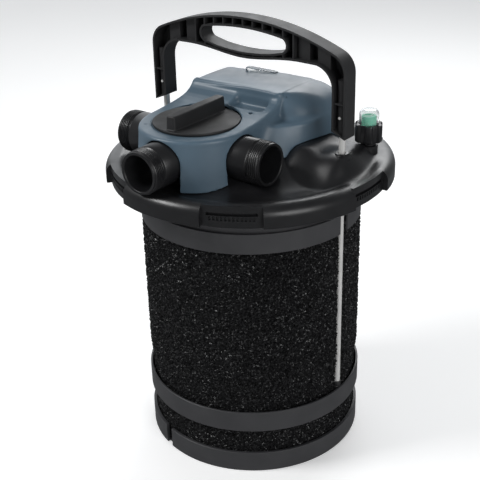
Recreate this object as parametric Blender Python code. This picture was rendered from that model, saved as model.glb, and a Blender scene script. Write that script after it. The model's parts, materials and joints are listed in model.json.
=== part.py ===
"""Head and foam cartridge of a pressurised pond filter, standing on its base ring.

Sizes are in millimetres and are scaled to metres when a mesh is made. The origin is the centre of
the underside, +Z is up, -Y is the front, where the valve is, and the handle spans X.
"""

import math

import bmesh
import bpy
from mathutils import Vector

MM = 0.001
GAP = 0.3
ROUND = 36
SMALL_ROUND = 14

# Cartridge, from the ground up.
BASE_RADIUS = 162.7
BASE_HEIGHT = 32.0
BASE_WALL = 4.7
FLOOR = 4.0
NOTCH_ANGLE = -107.5
NOTCH_WIDTH = 14.0
TRAY_RADIUS = 163.4
TRAY_BOTTOM = 71.6
TRAY_TOP = 103.8
TRAY_WALL = 3.4
FOAM_RADIUS = 157.5
TUBE_RADIUS = 48.0
TUBE_WALL = 3.0
COLLAR_RADIUS = 161.0
COLLAR_WALL = 3.1
COLLAR_BOTTOM = 358.4
COLLAR_PLATE = 366.0
COLLAR_STEP = 388.0
COLLAR_TOP = 434.5
NECK_RADIUS = 157.0

# Lid.
LID_RADIUS = 207.3
LID_BOTTOM = 416.3
LID_WALL = 4.0
SHOULDER = 15.3
CREST = 446.0
VALLEY = 438.8
CROWN = 467.0
DECK_RADII = (180.0, 162.0, 140.0, 118.0, 96.0, 74.0)
LAMP_HOLE = 24.0
SPIGOT_RADIUS = 172.0
SPIGOT_BOTTOM = 402.0
WINDOW_HALF_ANGLE = 11.5
WINDOW_FACE = 200.0
WINDOW_COUNT = 6

# Rods, their bosses and the handle.
ROD_X = 154.5
ROD_RADIUS = 4.6
ROD_BOTTOM = 80.3
ROD_TOP = 563.0
BOSS_TOP = 473.0
BOSS_SPREAD = 48.0
GLAND_RADIUS = 8.0
GLAND_FLANGE = 9.4
HANDLE_DEPTH = 25.0
HANDLE_TOP = 640.0
CROWN_RADIUS = 377.6
ARM_OUTER = 165.3
ARM_INNER = 144.5
ARM_BOTTOM_OUTER = 497.5
ARM_BOTTOM_INNER = 506.5
FLANGE = 3.0
RIB_PITCH = 16.6
PIN_HEIGHT = 525.0
ARM_CORNER_HEIGHT = 583.1

# Valve and its cover.
VALVE_X = -23.0
VALVE_Y = -88.0
VALVE_RADIUS = 60.0
PAD_TOP = 440.0
VALVE_BOTTOM = 442.6
VALVE_TOP = 505.0
PORT_HEIGHT = 474.0
PORT_RADIUS = 29.7
PORT_BORE = 24.5
PORT_REACH = 124.0
FRONT_REACH = 121.0
LOBE_RADIUS = 79.0
LOBE_TOP = 509.0
COVER_WALL = 3.0
ARCH_RADIUS = 32.0
HOOD_LEFT = -102.0
HOOD_RIGHT = 100.0
HOOD_FRONT = -1.0
HOOD_BACK = 88.0
HOOD_TOP = 538.0
DISC_RADIUS = 60.0
DISC_BOTTOM = 509.4
DISC_TOP = 513.5
GRIP_TOP = 533.5
SHAFT_RADIUS = 8.7
SKIRT_TOP = 503.0
SCREW_PLACE = (29.0, -35.0)

# Pressure indicator.
GAUGE_X = 148.0
GAUGE_Y = 80.0
GAUGE_SEAT = 461.0
GAUGE_NUT_BOTTOM = 467.5
GAUGE_LIP = 488.8
GAUGE_NUT_TOP = 492.5

COLOURS = {
    "black": ((0.017, 0.017, 0.019), 0.32, 0.0),
    "satin_black": ((0.020, 0.020, 0.022), 0.45, 0.0),
    "blue_grey": ((0.20, 0.26, 0.31), 0.38, 0.0),
    "foam": ((0.010, 0.010, 0.011), 0.95, 0.0),
    "steel": ((0.62, 0.61, 0.59), 0.22, 1.0),
    "rubber": ((0.015, 0.015, 0.015), 0.75, 0.0),
    "clear": ((0.86, 0.90, 0.90), 0.08, 0.0),
    "green": ((0.03, 0.42, 0.22), 0.35, 0.0),
    "white": ((0.80, 0.80, 0.78), 0.40, 0.0),
}


def material(name):
    """The named material, made on its first use."""
    found = bpy.data.materials.get(name)
    if found:
        return found
    colour, roughness, metallic = COLOURS[name]
    made = bpy.data.materials.new(name)
    made.use_nodes = True
    shader = made.node_tree.nodes["Principled BSDF"]
    shader.inputs["Base Color"].default_value = (*colour, 1.0)
    shader.inputs["Roughness"].default_value = roughness
    shader.inputs["Metallic"].default_value = metallic
    return made


def smooth(t):
    """Smooth step from 0 to 1."""
    t = min(max(t, 0.0), 1.0)
    return t * t * (3.0 - 2.0 * t)


def arc(centre, radius, start, end, steps):
    """Points on an arc, angles in degrees, both ends included."""
    points = []
    for i in range(steps + 1):
        angle = math.radians(start + (end - start) * i / steps)
        points.append((centre[0] + radius * math.cos(angle), centre[1] + radius * math.sin(angle)))
    return points


def finish(name, bm, colour, origin=(0.0, 0.0, 0.0)):
    """Turn a bmesh in millimetres into a named object with its origin at the given point."""
    bmesh.ops.recalc_face_normals(bm, faces=bm.faces)
    for vert in bm.verts:
        vert.co = (vert.co - Vector(origin)) * MM
    mesh = bpy.data.meshes.new(name)
    bm.to_mesh(mesh)
    bm.free()
    obj = bpy.data.objects.new(name, mesh)
    obj.location = Vector(origin) * MM
    bpy.context.scene.collection.objects.link(obj)
    if colour:
        mesh.materials.append(material(colour))
        mesh.shade_smooth()
        mesh.set_sharp_from_angle(angle=math.radians(35.0))
    return obj


def lathe(name, profile, colour=None, centre=(0.0, 0.0), steps=ROUND, origin=(0.0, 0.0, 0.0)):
    """Turn a closed (radius, height) outline about a vertical axis."""
    bm = bmesh.new()
    rings = []
    for radius, height in profile:
        if radius < 1e-6:
            rings.append([bm.verts.new((centre[0], centre[1], height))])
            continue
        ring = []
        for i in range(steps):
            angle = 2.0 * math.pi * i / steps
            x = centre[0] + radius * math.cos(angle)
            y = centre[1] + radius * math.sin(angle)
            ring.append(bm.verts.new((x, y, height)))
        rings.append(ring)
    for a, b in zip(rings, rings[1:] + rings[:1]):
        for i in range(steps):
            j = (i + 1) % steps
            corners = [a[i % len(a)], a[j % len(a)], b[j % len(b)], b[i % len(b)]]
            unique = list(dict.fromkeys(corners))
            if len(unique) > 2:
                bm.faces.new(unique)
    return finish(name, bm, colour, origin)


def prism(name, outline, start, end, axis, colour=None, origin=(0.0, 0.0, 0.0)):
    """Extrude a closed outline along an axis; the outline holds the other two coordinates."""
    bm = bmesh.new()
    rows = []
    for level in (start, end):
        row = []
        for u, v in outline:
            place = {"x": (level, u, v), "y": (u, level, v), "z": (u, v, level)}[axis]
            row.append(bm.verts.new(place))
        rows.append(row)
    count = len(outline)
    for i in range(count):
        j = (i + 1) % count
        bm.faces.new((rows[0][i], rows[0][j], rows[1][j], rows[1][i]))
    caps = [bm.faces.new(rows[0]), bm.faces.new(rows[1][::-1])]
    bmesh.ops.triangulate(bm, faces=caps)
    return finish(name, bm, colour, origin)


def box(name, x, y, z, colour=None, origin=(0.0, 0.0, 0.0)):
    """A block between two values on each axis."""
    outline = [(x[0], y[0]), (x[1], y[0]), (x[1], y[1]), (x[0], y[1])]
    return prism(name, outline, z[0], z[1], "z", colour, origin)


def rod(name, centre, radius, start, end, axis="z", colour=None, steps=SMALL_ROUND, origin=(0, 0, 0)):
    """A round bar along an axis."""
    return prism(name, arc(centre, radius, 0.0, 360.0, steps)[:-1], start, end, axis, colour, origin)


def radial_box(name, angle, half_width, reach, z):
    """A block that points outwards from the vertical axis through the origin."""
    turn = math.radians(angle)
    along = Vector((math.cos(turn), math.sin(turn)))
    across = Vector((-math.sin(turn), math.cos(turn)))
    near, far = reach
    corners = [(near, -half_width), (far, -half_width), (far, half_width), (near, half_width)]
    outline = [tuple(along * u + across * v) for u, v in corners]
    return prism(name, outline, z[0], z[1], "z")


def sector(name, angle, half_angle, radii, z):
    """A piece of a ring about the origin."""
    outer = arc((0, 0), radii[1], angle - half_angle, angle + half_angle, 2)
    inner = arc((0, 0), radii[0], angle + half_angle, angle - half_angle, 2)
    return prism(name, outer + inner, z[0], z[1], "z")


def boolean_mesh(target, tool, operation, solver):
    """The mesh that one Boolean leaves, without changing the target."""
    cut = target.modifiers.new("combine", "BOOLEAN")
    cut.operation = operation
    cut.solver = solver
    cut.object = tool
    bpy.context.view_layer.update()
    graph = bpy.context.evaluated_depsgraph_get()
    mesh = bpy.data.meshes.new_from_object(target.evaluated_get(graph))
    target.modifiers.clear()
    return mesh


def closed(mesh):
    """Whether every edge of the mesh has exactly two faces."""
    bm = bmesh.new()
    bm.from_mesh(mesh)
    result = len(bm.faces) > 0 and all(len(edge.link_faces) == 2 for edge in bm.edges)
    bm.free()
    return result


def combine(target, tool, operation):
    """Apply one Boolean, exact unless that leaves the mesh open, and remove the tool."""
    mesh = boolean_mesh(target, tool, operation, "EXACT")
    if not closed(mesh):
        bpy.data.meshes.remove(mesh)
        mesh = boolean_mesh(target, tool, operation, "MANIFOLD")
    before = target.data
    target.data = mesh
    bpy.data.meshes.remove(before)
    bpy.data.objects.remove(tool)


def subtract(target, *tools):
    for tool in tools:
        combine(target, tool, "DIFFERENCE")


def unite(target, *tools):
    for tool in tools:
        combine(target, tool, "UNION")


def deck_height(radius):
    """Height of the lid's upper face: low valley inside the crest, then up to the crown."""
    if radius > 168.0:
        return VALLEY + (CREST - VALLEY) * smooth((radius - 168.0) / 20.0)
    return CROWN - (CROWN - VALLEY) * smooth((radius - 70.0) / 88.0)


def under_deck(lift):
    """Section of everything below the lid's upper face, raised by the given amount."""
    top = [(r, deck_height(r) + lift) for r in DECK_RADII[::-1]]
    return [(0.0, 400.0), (0.0, CROWN + lift)] + top + [(215.0, CREST + lift), (215.0, 400.0)]


def lid_profile():
    """Closed section of the lid with its rolled rim and the sealing spigot below."""
    corner = (LID_RADIUS - SHOULDER, CREST - SHOULDER)
    outer = [(LID_RADIUS, LID_BOTTOM)] + arc(corner, SHOULDER, 0.0, 90.0, 4)
    deck = [(r, deck_height(r)) for r in DECK_RADII] + [(LAMP_HOLE, CROWN)]
    under = [(r, deck_height(r) - LID_WALL) for r in (LAMP_HOLE, 78.0, 110.0, 140.0, SPIGOT_RADIUS - 5.0)]
    groove = [(0.0, 8.0), (-2.6, 8.0), (-2.6, 14.0), (0.0, 14.0)]
    spigot = [(SPIGOT_RADIUS - 5.0, SPIGOT_BOTTOM), (SPIGOT_RADIUS, SPIGOT_BOTTOM)]
    spigot += [(SPIGOT_RADIUS + dr, SPIGOT_BOTTOM + dz) for dr, dz in groove]
    spigot.append((SPIGOT_RADIUS, deck_height(SPIGOT_RADIUS) - LID_WALL))
    inner = arc(corner, SHOULDER - LID_WALL, 90.0, 0.0, 3)
    return outer + deck + under + spigot + inner + [(LID_RADIUS - LID_WALL, LID_BOTTOM)]


def add_lid_windows(lid):
    """Six clip windows: a thick pad behind each, with a flat land on top and an upright face."""
    for i in range(WINDOW_COUNT):
        angle = 360.0 * i / WINDOW_COUNT
        wide = WINDOW_HALF_ANGLE + 1.5
        unite(lid, sector("pad", angle, wide, (WINDOW_FACE - 4.5, WINDOW_FACE + 4.0), (LID_BOTTOM, 438.0)))
        land = (WINDOW_FACE - 7.0, WINDOW_FACE + 3.0)
        unite(lid, sector("land", angle, WINDOW_HALF_ANGLE - 0.5, land, (436.0, CREST - 0.2)))
        subtract(lid, sector("face", angle, WINDOW_HALF_ANGLE, (WINDOW_FACE, 215.0), (410.0, 455.0)))


def rod_boss(side):
    """The raised boss that a rod passes through."""
    slope = [(12.0 + (BOSS_SPREAD - 12.0) * i / 4.0, i / 4.0) for i in range(5)]
    profile = [(0.0, BOSS_TOP)]
    profile += [(d, BOSS_TOP - (BOSS_TOP - VALLEY + 1.0) * smooth(t)) for d, t in slope]
    profile += [(BOSS_SPREAD, 436.5), (0.0, 436.5)]
    boss = lathe("boss", profile, centre=(side * ROD_X, 0.0), steps=18)
    limit = LID_RADIUS - SHOULDER
    combine(boss, rod("limit", (0.0, 0.0), limit, 430.0, 480.0, steps=ROUND), "INTERSECT")
    return boss


def make_lid():
    lid = lathe("lid", lid_profile(), "black")
    add_lid_windows(lid)
    for side in (-1, 1):
        unite(lid, rod_boss(side))
        subtract(lid, rod("bore", (side * ROD_X, 0.0), GLAND_RADIUS + GAP, 440.0, 480.0))
        subtract(lid, rod("hole", (side * ROD_X, 0.0), ROD_RADIUS + 0.7, 420.0, 441.0))
    valve = (VALVE_X, VALVE_Y)
    pad = rod("pad", valve, VALVE_RADIUS + 4.0, 434.5, 480.0, steps=ROUND)
    combine(pad, lathe("deck", under_deck(-0.2)), "INTERSECT")
    unite(lid, pad)
    subtract(lid, rod("pocket", valve, VALVE_RADIUS + 1.5, PAD_TOP, 480.0, steps=ROUND))
    for direction in ("left", "right", "front"):
        subtract(lid, port_tube("trough", direction, PORT_RADIUS + 1.0, PORT_REACH + 6.0))
    for dx in (-30.0, 30.0):
        subtract(lid, rod("passage", (VALVE_X + dx, VALVE_Y), 14.0, 420.0, 450.0))
    gauge = (GAUGE_X, GAUGE_Y)
    unite(lid, rod("gauge_pad", gauge, 16.0, 436.0, GAUGE_SEAT))
    subtract(lid, rod("gauge_hole", gauge, 4.0, 420.0, 480.0))
    unite(lid, rod("post", SCREW_PLACE, 6.0, 455.0, 500.0))
    subtract(lid, rod("screw_hole", SCREW_PLACE, 2.3, 478.0, 505.0))
    return lid


def ring_seal(name, centre, height, radius, thickness, steps=ROUND):
    """A rubber ring of round section."""
    profile = [(radius + u, height + v) for u, v in arc((0, 0), thickness, 0.0, 360.0, 6)[:-1]]
    return lathe(name, profile, "rubber", centre=centre, steps=steps)


def make_top_collar():
    """Skirt and narrower neck below the lid, a plate that holds the foam, and slots for the rods."""
    inner = COLLAR_RADIUS - COLLAR_WALL
    hub = TUBE_RADIUS + 0.6
    profile = [
        (COLLAR_RADIUS, COLLAR_BOTTOM),
        (COLLAR_RADIUS, COLLAR_STEP),
        (NECK_RADIUS, COLLAR_STEP),
        (NECK_RADIUS, COLLAR_TOP),
        (NECK_RADIUS - COLLAR_WALL, COLLAR_TOP),
        (NECK_RADIUS - COLLAR_WALL, COLLAR_STEP - 4.0),
        (inner, COLLAR_STEP - 4.0),
        (inner, COLLAR_PLATE + 4.0),
        (hub, COLLAR_PLATE + 4.0),
        (hub, COLLAR_PLATE),
        (inner, COLLAR_PLATE),
        (inner, COLLAR_BOTTOM),
    ]
    collar = lathe("top_collar", profile, "satin_black")
    for angle in (0.0, 180.0):
        subtract(collar, radial_box("slot", angle, 9.0, (ROD_X - 7.0, 170.0), (350.0, 440.0)))
    for i in range(8):
        turn = math.radians(22.5 + 45.0 * i)
        place = (102.0 * math.cos(turn), 102.0 * math.sin(turn))
        subtract(collar, rod("hole", place, 22.0, 360.0, 375.0, steps=12))
    return collar


def make_center_tube():
    """Perforated tube that carries the cartridge between the base and the collar plate."""
    inner = TUBE_RADIUS - TUBE_WALL
    top = COLLAR_PLATE + 4.0 + GAP
    profile = [
        (TUBE_RADIUS, FLOOR + GAP),
        (TUBE_RADIUS, top),
        (TUBE_RADIUS + 6.0, top),
        (TUBE_RADIUS + 6.0, top + 3.7),
        (inner, top + 3.7),
        (inner, FLOOR + GAP),
    ]
    tube = lathe("center_tube", profile, "satin_black")
    for low in (30.0, 140.0, 250.0):
        for angle in range(0, 360, 90):
            subtract(tube, radial_box("slot", angle + 17.0, 7.0, (30.0, 60.0), (low, low + 96.0)))
    return tube


def make_base_ring():
    """Low band and slotted floor that everything stands on."""
    hub = TUBE_RADIUS + GAP
    profile = [
        (0.0, 0.0),
        (BASE_RADIUS, 0.0),
        (BASE_RADIUS, BASE_HEIGHT),
        (BASE_RADIUS - BASE_WALL, BASE_HEIGHT),
        (BASE_RADIUS - BASE_WALL, FLOOR),
        (hub + 7.0, FLOOR),
        (hub + 7.0, FLOOR + 3.7),
        (hub, FLOOR + 3.7),
        (hub, FLOOR),
        (0.0, FLOOR),
    ]
    base = lathe("base_ring", profile, "satin_black")
    notch = (BASE_RADIUS - BASE_WALL - 0.2, 170.0)
    subtract(base, radial_box("notch", NOTCH_ANGLE, NOTCH_WIDTH / 2.0, notch, (-1.0, 40.0)))
    for angle in range(0, 360, 30):
        subtract(base, radial_box("opening", angle, 9.0, (72.0, 148.0), (-1.0, 5.0)))
    return base


def make_base_lock_ring():
    hub = TUBE_RADIUS + GAP
    low = FLOOR + 4.0
    profile = [(hub, low), (hub + 7.0, low), (hub + 7.0, low + 6.0), (hub, low + 6.0)]
    return lathe("base_lock_ring", profile, "satin_black", steps=ROUND)


def make_lower_foam():
    inner = TUBE_RADIUS + 9.0
    low = FLOOR + GAP
    high = TRAY_BOTTOM - GAP
    profile = [(inner, low), (FOAM_RADIUS, low), (FOAM_RADIUS, high), (inner, high)]
    return lathe("lower_foam", profile, "foam")


def make_upper_foam():
    """The foam that the tray squeezes, with a groove on each side for the rod."""
    inner = TUBE_RADIUS + 1.0
    low = TRAY_BOTTOM + FLOOR + GAP
    high = COLLAR_PLATE - GAP
    profile = [(inner, low), (FOAM_RADIUS, low), (FOAM_RADIUS, high), (inner, high)]
    foam = lathe("upper_foam", profile, "foam")
    for side in (-1, 1):
        groove = arc((side * ROD_X, 0.0), 6.6, 90.0, 270.0, 8)
        if side < 0:
            groove = arc((side * ROD_X, 0.0), 6.6, -90.0, 90.0, 8)
        edge = side * 175.0
        outline = groove + [(edge, groove[-1][1]), (edge, groove[0][1])]
        subtract(foam, prism("groove", outline, 60.0, 380.0, "z"))
    return foam


def make_pressing_tray():
    """Ring and grid that the rods pull up against the foam."""
    hole = TUBE_RADIUS + 0.7
    inner = TRAY_RADIUS - TRAY_WALL
    profile = [
        (TRAY_RADIUS, TRAY_BOTTOM),
        (TRAY_RADIUS, TRAY_TOP),
        (inner, TRAY_TOP),
        (inner, TRAY_BOTTOM + FLOOR),
        (hole, TRAY_BOTTOM + FLOOR),
        (hole, TRAY_BOTTOM),
    ]
    tray = lathe("pressing_tray", profile, "satin_black")
    for angle in range(15, 360, 30):
        reach = (66.0, 146.0)
        subtract(tray, radial_box("opening", angle, 9.0, reach, (TRAY_BOTTOM - 1.0, TRAY_BOTTOM + 5.0)))
    for side in (-1, 1):
        unite(tray, rod("socket", (side * ROD_X, 0.0), 5.9, TRAY_BOTTOM + 1.0, TRAY_TOP - 0.5))
        subtract(tray, rod("bore", (side * ROD_X, 0.0), ROD_RADIUS + GAP, ROD_BOTTOM - GAP, 110.0))
    return tray


def make_rods():
    """The two steel rods, the nut at each foot, and the gland and seal where each enters the lid."""
    for side, label in ((-1, "left"), (1, "right")):
        place = (side * ROD_X, 0.0)
        steel = rod("rod_" + label, place, ROD_RADIUS, ROD_BOTTOM, ROD_TOP, colour="steel")
        subtract(steel, rod("pin_hole", (place[0], PIN_HEIGHT), 2.3, -9.0, 9.0, "y", steps=12))
        hollow = ROD_RADIUS + GAP
        nut = [(hollow, TRAY_TOP + GAP), (5.9, TRAY_TOP + GAP), (5.9, 112.0), (hollow, 112.0)]
        lathe("rod_nut_" + label, nut, "steel", place, SMALL_ROUND)
        gland = [
            (hollow, 446.0),
            (GLAND_RADIUS, 446.0),
            (GLAND_RADIUS, BOSS_TOP + GAP),
            (GLAND_FLANGE, BOSS_TOP + GAP),
            (GLAND_FLANGE, BOSS_TOP + 1.8),
            (hollow, BOSS_TOP + 1.8),
        ]
        lathe("rod_gland_" + label, gland, "black", place, SMALL_ROUND)
        seal = [(hollow, 440.3), (GLAND_RADIUS, 440.3), (GLAND_RADIUS, 445.7), (hollow, 445.7)]
        lathe("rod_seal_" + label, seal, "rubber", place, SMALL_ROUND)
        rod("handle_pin_" + label, (place[0], PIN_HEIGHT), 2.0, -8.5, 8.5, "y", "steel", 12)


def handle_side(inset):
    """Right half of the handle's outline in (x, z), from the top centre to the lower bar's centre."""
    radius = CROWN_RADIUS - inset
    centre = HANDLE_TOP - CROWN_RADIUS
    lean = 90.0 - math.degrees(math.asin(147.0 / CROWN_RADIUS))
    corner = 29.5
    joint = (147.0 - corner * math.cos(math.radians(lean)), ARM_CORNER_HEIGHT)
    points = arc((0.0, centre), radius, 90.0, lean, 8)
    points += arc(joint, corner - inset, lean, 0.0, 5)[1:]
    points.append((ARM_OUTER - inset, ARM_BOTTOM_OUTER + inset))
    points.append((ARM_INNER + inset, ARM_BOTTOM_INNER + inset))
    points += arc((114.5, 562.0), 30.0 + inset, 0.0, 80.0, 5)
    points += [(x, lower_edge(x) + inset) for x in (90.0, 70.0, 50.0, 30.0, 0.0)]
    return points


def lower_edge(x):
    """Height of the underside of the lower grip bar."""
    return 584.0 + 8.0 * smooth(abs(x) / 90.0)


def mirrored(points):
    """Close a right half, given from top to bottom, with its mirror image."""
    left = [(-x, z) for x, z in reversed(points) if abs(x) > 1e-6]
    return points + left


def opening_side(outset):
    """Right half of the grip opening, from its top centre to its bottom centre."""
    top = arc((0.0, HANDLE_TOP - CROWN_RADIUS), CROWN_RADIUS - 15.0 + outset, 90.0, 80.6, 5)
    end = arc((62.0, 610.0), 10.0 + outset, 60.0, -75.0, 6)
    bottom = [(x, 592.5 - outset + 0.00165 * x * x) for x in (46.0, 24.0, 0.0)]
    return top + end + bottom


def make_handle():
    """Carrying handle: a flanged channel, open at the front, stiffened by ribs and pads."""
    front = -HANDLE_DEPTH / 2.0
    back = HANDLE_DEPTH / 2.0
    handle = prism("handle", mirrored(handle_side(0.0)), front, back, "y", "satin_black")
    subtract(handle, prism("opening", mirrored(opening_side(0.0)), front - 5.0, back + 5.0, "y"))
    pocket = prism("pocket", mirrored(handle_side(FLANGE)), front - 5.0, back - FLANGE, "y")
    subtract(pocket, prism("rim", mirrored(opening_side(FLANGE)), front - 9.0, back + 5.0, "y"))
    for i in range(-5, 6):
        x = i * RIB_PITCH
        subtract(pocket, box("rib", (x - 0.9, x + 0.9), (-20.0, 20.0), (570.0, 650.0)))
    for side in (-1, 1):
        for near, far in ((86.0, 105.0), (117.0, 138.0)):
            pad = (min(side * near, side * far), max(side * near, side * far))
            subtract(pocket, box("pad", pad, (-4.0, 20.0), (580.0, 650.0)))
        subtract(pocket, rod("spine", (side * ROD_X, 0.0), 7.4, 490.0, 575.0))
        web = (side * ROD_X - 12.0, side * ROD_X + 12.0)
        subtract(pocket, box("rib", web, (-11.0, 20.0), (543.5, 545.5)))
    subtract(handle, pocket)
    for side in (-1, 1):
        place = (side * ROD_X, 0.0)
        subtract(handle, rod("bore", place, ROD_RADIUS + GAP, 480.0, ROD_TOP + GAP))
        subtract(handle, rod("pin_hole", (place[0], PIN_HEIGHT), 2.3, -20.0, 20.0, "y", steps=12))
    return handle


def port_tube(name, direction, radius, reach, steps=24):
    """A tube from the valve's centre along -X, +X or -Y."""
    if direction == "front":
        return rod(name, (VALVE_X, PORT_HEIGHT), radius, VALVE_Y - reach, VALVE_Y, "y", steps=steps)
    end = VALVE_X + reach if direction == "right" else VALVE_X - reach
    low = min(end, VALVE_X)
    high = max(end, VALVE_X)
    return rod(name, (VALVE_Y, PORT_HEIGHT), radius, low, high, "x", steps=steps)


def make_valve_body():
    """Round valve chamber with three threaded stubs for the hoses."""
    reaches = {"left": PORT_REACH, "right": PORT_REACH, "front": FRONT_REACH}
    centre = (VALVE_X, VALVE_Y)
    body = rod("valve_body", centre, VALVE_RADIUS, VALVE_BOTTOM, VALVE_TOP, colour="black", steps=ROUND)
    for direction, reach in reaches.items():
        unite(body, port_tube("stub", direction, PORT_RADIUS, reach))
    subtract(body, rod("chamber", centre, VALVE_RADIUS - 6.0, 449.0, VALVE_TOP - 6.0, steps=ROUND))
    for direction, reach in reaches.items():
        subtract(body, port_tube("bore", direction, PORT_BORE, reach + 1.0))
    subtract(body, rod("shaft_hole", centre, SHAFT_RADIUS + GAP, 490.0, 510.0))
    subtract(body, rod("seal_seat", centre, 12.7, 501.0, 510.0))
    for dx in (-30.0, 30.0):
        subtract(body, rod("passage", (VALVE_X + dx, VALVE_Y), 14.0, 440.0, 460.0))
    body.data.shade_smooth()
    body.data.set_sharp_from_angle(angle=math.radians(35.0))
    return body


def make_valve_gasket():
    profile = [(50.0, 440.3), (VALVE_RADIUS, 440.3), (VALVE_RADIUS, 442.3), (50.0, 442.3)]
    return lathe("valve_gasket", profile, "rubber", (VALVE_X, VALVE_Y), ROUND)


def make_valve_rotor():
    """Drum that the knob turns inside the chamber, with a straight way and a drain way."""
    centre = (VALVE_X, VALVE_Y)
    origin = (VALVE_X, VALVE_Y, PORT_HEIGHT)
    radius = VALVE_RADIUS - 6.6
    rotor = rod("valve_rotor", centre, radius, 449.6, 498.4, colour="white", steps=ROUND, origin=origin)
    subtract(rotor, rod("way", (VALVE_Y, PORT_HEIGHT), 18.0, VALVE_X - 70.0, VALVE_X + 70.0, "x"))
    subtract(rotor, rod("drain", (VALVE_X + 30.0, VALVE_Y), 13.0, 440.0, 470.0))
    subtract(rotor, rod("socket", centre, SHAFT_RADIUS + GAP, 494.0, 500.0))
    return rotor


def make_valve_shaft():
    origin = (VALVE_X, VALVE_Y, VALVE_TOP)
    top = DISC_TOP - 0.6
    profile = [(0.0, 494.3), (SHAFT_RADIUS, 494.3), (SHAFT_RADIUS, top)]
    profile += [(5.5, top), (5.5, 524.0), (0.0, 524.0)]
    return lathe("valve_shaft", profile, "white", (VALVE_X, VALVE_Y), SMALL_ROUND, origin)


def make_knob():
    """Turning disc with a straight grip bar across it."""
    centre = (VALVE_X, VALVE_Y)
    origin = (VALVE_X, VALVE_Y, DISC_BOTTOM)
    profile = [
        (0.0, DISC_BOTTOM),
        (DISC_RADIUS, DISC_BOTTOM),
        (DISC_RADIUS, DISC_TOP - 1.5),
        (DISC_RADIUS - 1.5, DISC_TOP),
        (0.0, DISC_TOP),
    ]
    knob = lathe("knob", profile, "satin_black", centre, ROUND, origin)
    outline = arc((VALVE_X, VALVE_Y - 50.0), 7.5, 200.0, 340.0, 6)
    outline += arc((VALVE_X, VALVE_Y + 48.0), 7.5, 20.0, 160.0, 6)
    unite(knob, prism("grip", outline, DISC_BOTTOM + 1.0, GRIP_TOP, "z"))
    subtract(knob, rod("bore", centre, SHAFT_RADIUS + GAP, 500.0, DISC_TOP - GAP))
    subtract(knob, rod("neck", centre, 5.8, 500.0, 524.3))
    knob.data.shade_smooth()
    knob.data.set_sharp_from_angle(angle=math.radians(35.0))
    return knob


def lobe_outline(inset):
    """Plan of the round front of the cover and its straight sides."""
    radius = LOBE_RADIUS - inset
    front = arc((VALVE_X, VALVE_Y), radius, 180.0, 360.0, 28)
    return front + [(VALVE_X + radius, 20.0), (VALVE_X - radius, 20.0)]


def hood_outline(inset):
    """Section of the hood across X: upright left side, flat roof, long round right shoulder."""
    roof = HOOD_TOP - inset
    left = arc((HOOD_LEFT + 12.0, HOOD_TOP - 12.0), 12.0 - inset, 180.0, 90.0, 4)
    shoulder = arc((46.0, HOOD_TOP - 54.0), 54.0 - inset, 90.0, 0.0, 9)
    return [(HOOD_LEFT + inset, 425.0)] + left + shoulder + [(HOOD_RIGHT - inset, 425.0)]


def slope_outline(inset):
    """Section in (y, z) of the hollow slope between the lobe and the hood."""
    low = LOBE_TOP - 12.0
    start, length, rise = -62.0, 64.0, 27.0
    places = (-62.0, -45.0, -32.0, -22.0, -14.0, -7.0, -2.0)
    curve = [(y, LOBE_TOP + rise * ((y - start) / length) ** 3.2 - inset) for y in places]
    return [(4.0, low), (4.0, HOOD_TOP - 2.0 - inset)] + curve[::-1] + [(start, low)]


def skirt_outline(inset):
    """Plan of the low skirt that flares to the right of the valve."""
    edge = [(58.0, -60.0), (80.0, -48.0), (88.0, -36.0), (93.0, -16.0), (98.5, 2.0), (101.0, 24.0)]
    shifted = [(x - inset, y + 0.8 * inset) for x, y in edge]
    return [(40.0, -60.0 + inset)] + shifted + [(HOOD_RIGHT - inset, 45.0), (40.0, 45.0)]


def corner_outline(inset):
    """Plan of what is cut from the hood above the skirt, at its front right corner."""
    start = (47.0 - 0.615 * inset, -6.0 + 0.789 * inset)
    end = (start[0] + 59.0, start[1] + 46.0)
    return [start, (130.0, start[1]), (130.0, end[1]), end]


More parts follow.
